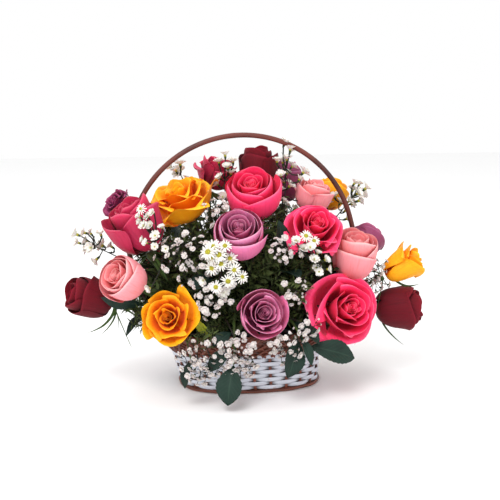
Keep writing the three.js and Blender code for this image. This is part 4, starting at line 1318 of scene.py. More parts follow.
@dataclass
class RoseStems:
    """Groups of rose stems with their hips and sepals, which bend clear of the blooms."""

    room: Room
    radius: float = 0.0022
    foot_depth: float = 0.0245
    collar_reach: float = 0.008
    sides: int = 8
    steps: int = 22
    young_group: str = "stems_front_left"
    young_leaf: tuple[Pair, ...] = ((193, 316), (212, 337))
    young_depth: float = -0.088

    def stem(self, piece: Greens, bloom: Bloom, foot: Sequence[Vector], draw: Random) -> list[Vector]:
        """Adds a stem with its hip and sepals.

        Args:
            piece: The piece that they belong to.
            bloom: The bloom that it carries.
            foot: The points where it begins, of which the last is where it may start to bend.
            draw: Where its small irregularities come from.

        Returns:
            The points of its route.
        """
        neck = bloom.base - bloom.axis * 1.6 * bloom.hip
        drop = bloom.base - bloom.axis * (2 * bloom.hip + 0.014)
        points = [foot[-1], foot[-1].lerp(drop, 0.5), drop, neck]
        route = self.room.bent(points, 0.004, self.steps, bloom.name)
        bow = Vector((draw.uniform(-1, 1), draw.uniform(-1, 1), 0)) * 0.0012
        route = [p + bow * math.sin(math.pi * k / self.steps) for k, p in enumerate(route)]
        piece.tube([*foot[:-1], *route], self.radius, self.sides, Skin.ROSE_STEM, draw.random())
        heights = (2.6, 2.1, 1.6, 1.0, 0.5, 0.1)
        widths = (0.5, 0.62, 0.86, 1.0, 0.96, 0.8)
        hip = [bloom.base - bloom.axis * bloom.hip * k for k in heights]
        piece.tube(hip, [bloom.hip * k for k in widths], 10, Skin.ROSE_STEM, draw.random())
        self.sepals(piece, bloom, draw)
        return route

    def sepals(self, piece: Greens, bloom: Bloom, draw: Random) -> None:
        """Adds the five sepals under a bloom, which hang away from its petals.

        Args:
            piece: The piece that they belong to.
            bloom: The bloom above them.
            draw: Where their small irregularities come from.
        """
        bud = bloom.form in (Form.BUD, Form.SHUT, Form.PLUMP)
        reach = bloom.width * 0.8 if bud else min(bloom.width * 0.36, 0.021)
        turn = turned_to(bloom.axis, 0.0)
        across, along = lattice(4, 8)
        for k in range(5):
            angle = TURN * (k + draw.uniform(-0.1, 0.1)) / 5
            droop = math.radians((10 if bud else 24) + draw.uniform(-24, 32))
            out = turn @ Vector((math.cos(angle), math.sin(angle), 0))
            start = bloom.base - bloom.axis * bloom.hip * 0.6 + out * bloom.hip * 0.7
            way = out * math.cos(droop) - bloom.axis * math.sin(droop)
            side = way.cross(bloom.axis).normalized()
            curl = bloom.axis * reach * draw.uniform(-0.3, 0.25) - UP * reach * (0.35 if bud else 0)
            half = bloom.hip * (0.5 if bud else 0.62)
            width = half * (1 - along) ** 0.9 * (0.75 + 0.9 * along * (1 - along))
            middle = reached(
                start, (along * reach, way), (along**2, curl), (across * width, side),
                (np.abs(across) * width * 0.4, bloom.axis),
            )
            piece.sheet(middle, piece.thick, Skin.SEPAL, draw.random())

    def build(self) -> None:
        """Builds every group."""
        blooms = {bloom.name: bloom for bloom in BLOOMS}
        for number, group in enumerate(STEM_GROUPS):
            draw = Random(300 + number)
            piece = Greens(f"{group.name}_fine", "rose_stems", [Skin.ROSE_STEM, Skin.SEPAL, Skin.YOUNG])
            carried = [blooms[name] for name in group.carries]
            middle = sum((bloom.base for bloom in carried), Vector()) / len(carried)
            _, mouth = rooted(group.hole)
            lean = Vector((middle.x - mouth.x, middle.y - mouth.y, 0)).normalized() * 0.35
            lean = (lean + UP).normalized()
            foot = mouth - lean * self.foot_depth
            collar = mouth + lean * self.collar_reach
            for bloom in carried:
                route = self.stem(piece, bloom, (foot, mouth, collar), draw)
                if bloom.name in SHOOTS:
                    self.stem(piece, blooms[SHOOTS[bloom.name]], (route[11], route[12]), draw)
            if group.name == self.young_group:
                base, tip = (VIEW.at(pixel, self.young_depth) for pixel in self.young_leaf)
                piece.leaf(base, tip, 0.006, Skin.YOUNG, draw)
                piece.tube(flowing([collar, base], 6), 0.0009, 5, Skin.ROSE_STEM)
            for depth, half, pixels in WISPS.get(group.name, ()):
                curve = [VIEW.at(pixel, depth) for pixel in pixels]
                piece.wisp(curve, half, Skin.SEPAL, draw.random())
            piece.done(group.name)


@dataclass(frozen=True)
class LeafyStem:
    """A leafy stem: its hole in the foam, the points it passes, and each leaf's base, tip, half width."""

    name: str
    hole: Pair
    through: tuple[Point, ...]
    leaves: tuple[tuple[Point, Point, float], ...]


LEAFY_STEMS = (
    LeafyStem("leaves_front_left", (-26, -32), ((-28, -74, 99), (-32, -102, 84), (-32, -106, 60)),
              (((-32, -106, 60), (-42, -123, 9), 14), ((-32, -103, 80), (-64, -110, 46), 8),
               ((-30, -90, 94), (-57, -100, 74), 7))),
    LeafyStem("leaves_front_right", (14, -34), ((36, -66, 99), (44, -100, 88)),
              (((40, -100, 86), (28, -120, 38), 12), ((43, -100, 86), (56, -121, 52), 6),
               ((58, -96, 68), (114, -94, 50), 13), ((36, -72, 98), (66, -116, 76), 9))),
    LeafyStem("leaves_left", (-60, -18), ((-88, -34, 102), (-124, -42, 112)),
              (((-124, -42, 112), (-184, -56, 126), 8), ((-112, -40, 108), (-156, -58, 78), 10),
               ((-82, -98, 58), (-90, -105, 26), 6))),
    LeafyStem("leaves_middle", (-24, -18), ((-34, -40, 118), (-46, -58, 146)),
              (((-46, -58, 144), (-78, -86, 138), 13), ((-36, -46, 124), (-44, -86, 140), 14),
               ((-34, -40, 118), (-66, -74, 104), 12))),
    LeafyStem("leaves_upper", (8, -12), ((24, -34, 130), (26, -48, 160)),
              (((26, -48, 160), (27, -62, 214), 10), ((25, -42, 146), (48, -84, 148), 13))),
    LeafyStem("leaves_back_left", (-40, 24), ((-62, 50, 118), (-70, 66, 160)),
              (((-70, 66, 160), (-92, 84, 206), 14), ((-66, 58, 140), (-22, 84, 106), 12),
               ((-62, 50, 118), (-124, 32, 98), 12))),
    LeafyStem("leaves_back_right", (30, 26), ((52, 48, 120), (58, 66, 160)),
              (((58, 66, 160), (92, 82, 198), 14), ((56, 58, 140), (52, 104, 108), 13),
               ((52, 48, 118), (110, 14, 96), 12))),
)


@dataclass(frozen=True)
class Frond:
    """A fern frond: its hole in the foam, the points of its rib and how long its leaflets are."""

    name: str
    hole: Pair
    through: tuple[Point, ...]
    reach: float


FRONDS = (
    Frond("fern_left", (-56, 8), ((-90, 12, 128), (-128, 20, 158), (-168, 30, 178)), 24),
    Frond("fern_right", (50, 2), ((86, 24, 114), (132, 34, 118), (176, 36, 114)), 22),
    Frond("fern_front", (4, -24), ((30, -52, 128), (44, -78, 142), (58, -108, 140)), 18),
    Frond("fern_back", (-24, 20), ((-40, 50, 160), (-44, 68, 200), (-46, 78, 236)), 24),
)


# The middles of tufts of twigs where the photograph's greenery is densest
TUFTS = (
    (-144, -56, 100), (-132, -66, 94), (96, -50, 104), (-70, -100, 84),
    (-108, -34, 186), (-88, -40, 184), (-64, -36, 196), (-46, -20, 214),
    (30, -40, 206), (38, -10, 226),
)


@dataclass
class Foliage:
    """The leafy stems, the fronds and the fine dark greenery, which keep out of the blooms' room."""

    room: Room
    stem: float = 0.0016
    stem_steps: int = 16
    near: float = 0.006
    rib: float = 0.0013
    rib_steps: int = 40
    leaflet_pairs: int = 17
    leaflet_half: float = 0.0023
    twigs: int = 660
    twig: float = 0.0009
    twig_steps: int = 14
    middle: Point = (-0.008, 0.0, 0.088)
    reach: Point = (0.160, 0.094, 0.152)
    tuft_twigs: int = 8

    def leafy(self) -> None:
        """Builds the leafy stems."""
        for number, stem in enumerate(LEAFY_STEMS):
            draw = Random(500 + number)
            piece = Greens(f"{stem.name}_fine", "leaves", [Skin.LEAF, Skin.ROSE_STEM])
            foot, mouth = rooted(stem.hole)
            route = self.room.bent([mouth, *map(metres, stem.through)], 0.003, self.stem_steps)
            piece.tube([foot, *route], self.stem, 7, Skin.ROSE_STEM, draw.random())
            for start, end, half in stem.leaves:
                base, tip = metres(start), metres(end)
                root = nearest(route, base)
                if (base - root).length < self.near:
                    base = root.lerp(tip, 0.14)
                piece.tube(flowing([root, base.lerp(root, 0.4), base], 4), 0.0008, 5, Skin.ROSE_STEM)
                piece.leaf(base, tip, half / 1000 * 1.12, Skin.LEAF, draw)
            piece.done(stem.name)

    def fronds(self) -> None:
        """Builds the fern fronds, with a pair of leaflets every few millimetres."""
        for number, frond in enumerate(FRONDS):
            draw = Random(600 + number)
            piece = Greens(f"{frond.name}_fine", "fern", [Skin.FERN])
            foot, mouth = rooted(frond.hole)
            steps = self.rib_steps
            route = self.room.bent([mouth, *map(metres, frond.through)], 0.003, steps)
            piece.tube([foot, *route], tapered(self.rib, 0.7, steps, 1), 6, Skin.FERN, 0.5)
            for pair in range(self.leaflet_pairs):
                share = 0.32 + 0.66 * pair / (self.leaflet_pairs - 1)
                step = round(share * steps)
                root = route[step]
                ahead = (route[min(steps, step + 1)] - route[step - 1]).normalized()
                side = ahead.cross(UP).normalized()
                bulge = math.sin(math.pi * (0.12 + 0.84 * (share - 0.32) / 0.68)) ** 0.7
                length = frond.reach / 1000 * 1.15 * bulge
                for hand in (-1, 1):
                    way = side * hand + ahead * 0.4 - UP * 0.12
                    tip = root + way.normalized() * length * draw.uniform(0.9, 1.05)
                    if not self.room.blocked(tip, 0.0):
                        piece.needle(root, tip, self.leaflet_half, Skin.FERN, draw.random())
            piece.done(frond.name)

    def greenery(self) -> None:
        """Builds the fine dark greenery that fills the bunch, in one piece for each side."""
        draw = Random(77)
        finishes = (Skin.FERN, Skin.TWIG)
        kinds = (Needles(finishes, Skin.FERN, 0.07), Needles(finishes, Skin.FERN, 0.17))
        names = ("left", "front", "right", "back")
        sides = {name: Piece(f"greenery_{name}", "fern", finishes) for name in names}
        middle, reach = Vector(self.middle), Vector(self.reach)
        for number in range(self.twigs):
            azimuth = TURN * (number * 0.618 % 1)
            height = draw.uniform(0.02, 0.99)
            flat = (1 - height**2.6) ** 0.5
            way = Vector((math.cos(azimuth) * flat, math.sin(azimuth) * flat, height))
            share = draw.uniform(0.66, 1.0)
            end = middle + Vector(way[k] * reach[k] * share for k in range(3))
            start = middle + Vector((way.x * 0.045, way.y * 0.03, -0.006))
            key = "back" if way.y > 0.5 else "front" if way.y < -0.5 else "left" if way.x < 0 else "right"
            self.twig_of(sides[key], start, end, draw, kinds[number % 2], number % 2 == 1)
        for number in range(self.tuft_twigs * len(TUFTS)):
            tuft = metres(TUFTS[number % len(TUFTS)])
            end = tuft + strayed(draw, 0.014)
            start = Vector((tuft.x * 0.4, tuft.y * 0.4 - 0.002, 0.084))
            self.twig_of(sides["front"], start, end, draw, kinds[0], False)
        for piece in sides.values():
            piece.done()

    def twig_of(
        self, piece: Piece, start: Vector, end: Vector, draw: Random, needles: Needles, broad: bool
    ) -> None:
        """Adds a twig with small leaves all along its outer part.

        Args:
            piece: The piece that it belongs to.
            start: Its root in the foam.
            end: Its tip.
            draw: Where its irregularities come from.
            needles: The shapes of its leaves.
            broad: Whether they are fewer, longer and broader.
        """
        bow = Vector((draw.uniform(-1, 1), draw.uniform(-1, 1), draw.uniform(0, 1))) * 0.012
        steps = self.twig_steps
        route = self.room.bent([start, start.lerp(end, 0.5) + bow, end], 0.002, steps)
        piece.tube(route, tapered(self.twig, 0.6, steps), 4, Skin.TWIG)
        count = 24 if broad else 40
        for k in range(count):
            share = 0.2 + 0.8 * (k + draw.random() * 0.6) / count
            place = share * steps
            low = min(int(place), steps - 1)
            root = route[low].lerp(route[low + 1], place - low)
            ahead = (route[low + 1] - route[low]).normalized()
            side = Quaternion(ahead, k * 2.4 + draw.uniform(-0.4, 0.4)) @ ahead.orthogonal().normalized()
            length = draw.uniform(0.016, 0.026) if broad else draw.uniform(0.011, 0.019)
            tip = root + (side + ahead * draw.uniform(0.3, 0.9)).normalized() * length * (1.1 - 0.4 * share)
            if not self.room.blocked(tip, 0.0015) and not self.room.blocked(root.lerp(tip, 0.5), 0.0015):
                needles.lay(piece, root, tip, draw.uniform(0.8, 1.2), draw)


@dataclass(frozen=True)
class Cloud:
    """A cloud of small flowers: its middle, half its size and how many it has."""

    middle: Point
    size: Point
    count: int


@dataclass(frozen=True)
class Branch:
    """A branch of a spray: the points it passes, its cloud, and the heads that show in the photograph.

    The heads are pixels of the photograph, all at the same depth. The first few, fresh, are fully open.
    """

    through: tuple[Point, ...]
    cloud: Cloud
    heads: tuple[Pair, ...] = ()
    depth: float = -100
    fresh: int = 0

    @property
    def outward(self) -> Vector:
        """The way out of the bunch at its cloud."""
        return (metres(self.cloud.middle) - Vector((0, 0, 0.12))).normalized()


@dataclass(frozen=True)
class Spray:
    """A spray of small flowers: its hole in the foam, its seed, its branches and its heads' size."""

    name: str
    hole: Pair
    seed: int
    branches: tuple[Branch, ...]
    size: float = 1.0


ASTER_SPRAYS = (
    Spray("asters_middle", (-34, -8), 11, (
        Branch(((-40, -34, 130), (-44, -74, 158)), Cloud((-44, -96, 168), (26, 14, 32), 5),
               ((219, 255), (212, 258), (230, 259), (221, 264), (234, 270), (242, 277), (228, 281),
                (225, 246), (213, 247), (212, 268), (216, 287), (208, 252)), -106, 12),
    )),
    Spray("asters_right", (20, -16), 12, (
        Branch(((44, -40, 120), (56, -84, 152)), Cloud((70, -98, 166), (22, 10, 16), 2),
               ((314, 241), (306, 236), (303, 250), (314, 260), (310, 248), (325, 260), (296, 241),
                (316, 268), (287, 294), (317, 254)), -98, 2),
    ), 0.88),
    Spray("asters_top_left", (-24, 6), 14, (
        Branch(((-50, 22, 170), (-72, 24, 240)), Cloud((-86, 18, 266), (8, 8, 8), 5),
               ((176, 171), (172, 168), (178, 174), (186, 180)), 12),
        Branch(((-22, 8, 160), (-30, 4, 230)), Cloud((-30, 8, 256), (12, 10, 34), 12),
               ((233, 162), (231, 174), (220, 178), (218, 185), (228, 168), (223, 198), (217, 212),
                (225, 212)), 0),
    )),
    Spray("asters_far_left", (-66, 4), 15, (
        Branch(((-104, -18, 132), (-160, -22, 166)), Cloud((-192, -22, 182), (18, 8, 14), 9),
               ((78, 235), (85, 233), (91, 234), (101, 235), (112, 247), (97, 259), (88, 242), (79, 243),
                (88, 249), (103, 246)), -22),
    )),
    Spray("asters_top_right", (34, -2), 16, (
        Branch(((40, 8, 160), (46, -2, 240)), Cloud((46, 0, 268), (12, 8, 34), 14),
               ((281, 176), (283, 202), (308, 197), (303, 173), (299, 180), (279, 191), (290, 150),
                (287, 160)), -4),
        Branch(((76, 16, 160), (124, 18, 212)), Cloud((136, 16, 230), (14, 10, 14), 8),
               ((359, 185), (365, 189), (354, 184), (352, 191), (358, 201), (335, 197), (340, 203),
                (345, 211), (327, 204), (346, 219)), 16),
    )),
    Spray("asters_left", (-48, -8), 17, (
        Branch(((-84, -40, 140), (-112, -66, 180)), Cloud((-122, -86, 196), (18, 10, 26), 3),
               ((141, 209), (140, 217), (141, 222), (153, 213), (148, 217), (144, 226), (151, 226),
                (162, 228), (147, 243), (155, 247), (166, 249), (150, 288)), -94, 1),
    ), 0.76),
    Spray("asters_back", (18, 22), 19, (
        Branch(((40, 60, 140), (48, 84, 180)), Cloud((50, 98, 200), (30, 14, 26), 16)),
    )),
)

BREATH_SPRAYS = (
    Spray("breath_left", (-38, -20), 31, (
        Branch(((-56, -44, 130), (-76, -72, 160)), Cloud((-84, -86, 176), (40, 16, 34), 54)),
        Branch(((-50, -40, 124), (-62, -80, 128)), Cloud((-64, -98, 128), (30, 12, 22), 26)),
        Branch(((-40, -20, 160), (-44, -30, 200)), Cloud((-46, -46, 226), (18, 12, 22), 16)),
    )),
    Spray("breath_front", (-38, -31), 42, (
        Branch(((-58, -70, 102), (-70, -100, 84)), Cloud((-60, -112, 62), (42, 8, 28), 58)),
        Branch(((-40, -74, 104), (-34, -104, 90)), Cloud((-24, -114, 65), (20, 8, 31), 36)),
        Branch(((-60, -72, 102), (-80, -102, 80)), Cloud((-72, -110, 46), (18, 6, 16), 11)),
    )),
    Spray("breath_front_right", (0, -36), 33, (
        Branch(((16, -72, 98), (24, -104, 84)), Cloud((30, -114, 74), (24, 8, 24), 34)),
        Branch(((18, -70, 100), (52, -98, 100)), Cloud((56, -108, 94), (16, 8, 16), 12)),
    )),
    Spray("breath_right", (-10, -23), 34, (
        Branch(((30, -60, 150), (30, -76, 176)), Cloud((30, -86, 184), (22, 14, 20), 30)),
        Branch(((20, -56, 130), (34, -80, 136)), Cloud((46, -94, 134), (24, 10, 20), 16)),
    )),
    Spray("breath_far_right", (40, -22), 35, (
        Branch(((96, -24, 118), (138, -34, 124)), Cloud((156, -36, 138), (20, 14, 22), 26)),
    )),
    Spray("breath_back", (-12, 29), 36, (
        Branch(((-20, 56, 120), (-36, 84, 138)), Cloud((-44, 100, 134), (50, 14, 34), 56)),
    )),
)


@dataclass
class SmallFlowers:
    """What the sprays of asters and of baby's breath share: branches and the twigs of their flowers."""

    room: Room
    spray: Spray
    stem: float = 0.0014
    twig: float = 0.00045
    steps: int = 16
    slot: ClassVar[str] = ""
    finishes: ClassVar[tuple[Skin, ...]] = ()

    def __post_init__(self) -> None:
        """Starts the spray's piece and its draws."""
        self.draw = Random(self.spray.seed)
        self.piece = Greens(f"{self.spray.name}_fine", self.slot, self.finishes)

    def place(self, shape: Mesh, at: Vector, facing: Vector, size: float) -> None:
        """Stamps a flower at a place, facing a way, with its half width."""
        self.piece.stamp(shape, at, facing, self.draw.uniform(0, 6.3), (size, size, size))

    def branch_route(self, branch: Branch) -> list[Vector]:
        """Lays a branch from the foam to its cloud.

        Args:
            branch: The branch.

        Returns:
            The points of its route.
        """
        foot, mouth = rooted(self.spray.hole)
        points = [mouth, *map(metres, (*branch.through, branch.cloud.middle))]
        route = self.room.bent(points, 0.003, self.steps)
        self.piece.tube([foot, *route], [self.stem, *tapered(self.stem, 0.6, self.steps)], 5, Skin.TWIG)
        return route

    def scattered(self, cloud: Cloud, apart: float, taken: list[Vector]) -> list[Vector]:
        """Draws the middles of flowers in a cloud, clear of blooms and of each other.

        Args:
            cloud: The cloud.
            apart: How far apart the flowers are at least.
            taken: The flowers that are there already, to which these are added.

        Returns:
            The new middles.
        """
        found: list[Vector] = []
        for _ in range(cloud.count * 60):
            offset = strayed(self.draw, 1)
            at = metres(cloud.middle) + Vector(offset[k] * (cloud.size[k] / 1000) for k in range(3))
            if len(found) == cloud.count:
                break
            if offset.length > 1 or self.room.blocked(at, apart * 0.9):
                continue
            if all((at - other).length > apart for other in taken):
                found.append(at)
                taken.append(at)
        return found


class Flowers:
    """The few shapes of one kind of small flower, made once and then stamped wherever one grows."""

    def __init__(self, finishes: Sequence[Skin]) -> None:
        """Takes the finishes of the pieces that the flowers are stamped into."""
        self.finishes = finishes
        self.draw = Random(5)

    def whorl(self, piece: Piece, petals: int, rise: float, length: float, half: float, skin: Skin) -> None:
        """Adds a whorl of petals round the origin, each one unit of the flower's half width long at most.

        Args:
            piece: The draft that it belongs to.
            petals: How many petals it has.
            rise: How steeply they rise.
            length: How long they are.
            half: Half their width.
            skin: Their finish.
        """
        across, along = lattice(2, 3 if length > 6 * half else 2)
        above = np.array((0, 0, 1))
        for k in range(petals):
            angle = TURN * (k + self.draw.uniform(-0.22, 0.22)) / petals + rise
            out = np.array((math.cos(angle), math.sin(angle), 0))
            side = np.array((-math.sin(angle), math.cos(angle), 0))
            steep = rise + self.draw.uniform(-0.13, 0.13)
            way = (out + above * steep) / math.hypot(1, steep)
            long = length * self.draw.uniform(0.86, 1.05)
            width = half * (0.3 + 0.8 * np.sin(math.pi * along**0.8 * 0.86) ** 0.6)
            lift = 0.3 * width * np.abs(across) - 0.2 * long * along**2
            middle = reached(Vector(), (0.1 + along * long, way), (across * width, side), (lift, above))
            piece.sheet(middle, 0.05, skin, self.draw.random() * 0.8)

    def aster(self, fresh: bool) -> Mesh:
        """Makes an aster of half width 1 that faces up.

        Args:
            fresh: Whether it is fully open, and not closing.

        Returns:
            Its mesh.
        """
        draft = Piece("aster", "asters", self.finishes)
        if fresh:
            self.whorl(draft, 14, self.draw.uniform(0.0, 0.25), 0.92, 0.082, Skin.RAY)
            self.whorl(draft, 9, self.draw.uniform(0.3, 0.7), 0.76, 0.075, Skin.RAY)
        else:
            self.whorl(draft, 10, self.draw.uniform(0.7, 1.2), 1.05, 0.22, Skin.RAY)
            self.whorl(draft, 6, self.draw.uniform(1.5, 2.4), 0.95, 0.22, Skin.RAY)
        disc = [Vector((0, 0, h)) for h in (-0.1, 0.02, 0.12, 0.2, 0.24)]
        wide = 1.25 if fresh else 0.8
        draft.tube(disc, [wide * r for r in (0.2, 0.27, 0.27, 0.18, 0.06)], 9, Skin.DISC)
        cup = [Vector((0, 0, h)) for h in (-0.6, -0.4, -0.15, 0.05)]
        draft.tube(cup, [(1.0 if fresh else 0.75) * r for r in (0.07, 0.2, 0.26, 0.22)], 7, Skin.GREEN)
        return draft.shut()

    def floret(self) -> Mesh:
        """Makes a double floret of half width 1 that faces up.

        Returns:
            Its mesh.
        """
        draft = Piece("floret", "babys_breath", self.finishes)
        self.whorl(draft, 5, 0.3, 0.95, 0.5, Skin.BREATH)
        self.whorl(draft, 4, 1.4, 0.75, 0.42, Skin.BREATH)
        core = [Vector((0, 0, h)) for h in (0.1, 0.36, 0.56)]
        draft.tube(core, (0.24, 0.38, 0.16), 6, Skin.BREATH)
        cup = [Vector((0, 0, h)) for h in (-0.55, -0.3, 0.05)]
        draft.tube(cup, (0.12, 0.3, 0.22), 5, Skin.GREEN)
        return draft.shut()


@dataclass
class AsterSpray(SmallFlowers):
    """A spray of small white asters with yellow green discs."""

    half: float = 0.0100
    fading: float = 0.0088
    slot: ClassVar[str] = "asters"
    finishes: ClassVar[tuple[Skin, ...]] = (Skin.RAY, Skin.DISC, Skin.TWIG, Skin.GREEN)

    def build(self, open_heads: Sequence[Mesh], closing: Sequence[Mesh]) -> None:
        """Builds the spray.

        Args:
            open_heads: The shapes of the open asters.
            closing: The shapes of those still closing.
        """
        taken: list[Vector] = []
        for branch in self.spray.branches:
            route = self.branch_route(branch)
            depths = [branch.depth / 1000 + self.draw.uniform(-0.006, 0.006) for _ in branch.heads]
            heads = [VIEW.at(pixel, depth) for pixel, depth in zip(branch.heads, depths)]
            taken.extend(heads)
            fresh_heads = heads[: branch.fresh]
            heads += self.scattered(branch.cloud, 0.011, taken)
            for at in heads:
                fresh = at in fresh_heads
                size = self.draw.uniform(0.8, 1.05) * self.spray.size * (self.half if fresh else self.fading)
                root = nearest(route[8:], at)
                facing = branch.outward + (at - root).normalized() * 0.8
                facing = facing + VIEW.axes()[2] * (0.8 if fresh else 0.0)
                facing = (facing + strayed(self.draw, 0.45)).normalized()
                foot = at - facing * size * 0.4
                line = flowing([root, foot.lerp(root, 0.45) - facing * 0.004, foot], 6)
                self.piece.tube(line, self.twig * 1.9, 4, Skin.TWIG)
                for k in (2, 3, 4):
                    side = strayed(self.draw, 1).normalized()
                    tip = line[k] + (side + facing * 0.8).normalized() * 0.006
                    self.piece.needle(line[k], tip, 0.0007, Skin.GREEN, self.draw.random())
                self.place(self.draw.choice(open_heads if fresh else closing), at, facing, size)
        self.piece.done(self.spray.name)


@dataclass
class BreathSpray(SmallFlowers):
    """A spray of baby's breath: a cloud of small double florets on branching twigs."""

    half: float = 0.0042
    slot: ClassVar[str] = "babys_breath"
    finishes: ClassVar[tuple[Skin, ...]] = (Skin.BREATH, Skin.TWIG, Skin.GREEN)

    def build(self, florets: Sequence[Mesh]) -> None:
        """Builds the spray.

        Args:
            florets: The shapes of its florets.
        """
        taken: list[Vector] = []
        for branch in self.spray.branches:
            route = self.branch_route(branch)
            grown = route[7:]
            found = self.scattered(branch.cloud, 0.0062, taken)
            for at in sorted(found, key=lambda place: (place - route[-1]).length):
                root = nearest(grown, at)
                facing = branch.outward + (at - root).normalized() * 0.8
                facing = (facing + strayed(self.draw, 0.6)).normalized()
                size = self.half * self.draw.choice((0.35, 0.5, 0.7, 0.85, 0.95, 1.0, 1.1))
                foot = at - facing * size * 0.4
                bow = foot.lerp(root, 0.5) - facing * 0.002
                self.piece.tube(flowing([root, bow, foot], 4), self.twig * 0.75, 4, Skin.TWIG)
                grown.append(bow)
                self.place(self.draw.choice(florets), at, facing, size)
        self.piece.done(self.spray.name)


@dataclass(frozen=True)
class Oval:
    """The basket's oval, whose depth share and sideways lean change with height.

    A power of 2 would make it an ellipse, and more fills its corners.
    """

    power: float = 2.5
    border_top: float = 0.076
    wall_top: float = 0.050
    lean: float = -0.008
    base_share: float = 0.678
    wall_share: float = 0.716
    border_share: float = 0.729

    def share(self, z: float) -> float:
        """How deep the oval is.

        Args:
            z: The height.

        Returns:
            Its depth as a share of its length.
        """
        if z < self.wall_top:
            return self.base_share + (self.wall_share - self.base_share) * max(0.0, z) / self.wall_top
        rise = min(1.0, (z - self.wall_top) / (self.border_top - self.wall_top))
        return self.wall_share + (self.border_share - self.wall_share) * rise

    def shift(self, z: float) -> float:
        """How far the oval's middle lies to the side, at a height."""
        return self.lean * min(1.0, max(0.0, z) / self.border_top)

    def at(self, angle: float, half: float, z: float) -> Vector:
        """A point of the oval.

        Args:
            angle: The point's angle about the oval's middle.
            half: Half the oval's length.
            z: The height.

        Returns:
            The point.
        """
        across, away = math.cos(angle), math.sin(angle)
        full = half / (abs(across) ** self.power + abs(away) ** self.power) ** (1 / self.power)
        return Vector((full * across + self.shift(z), full * away * self.share(z), z))


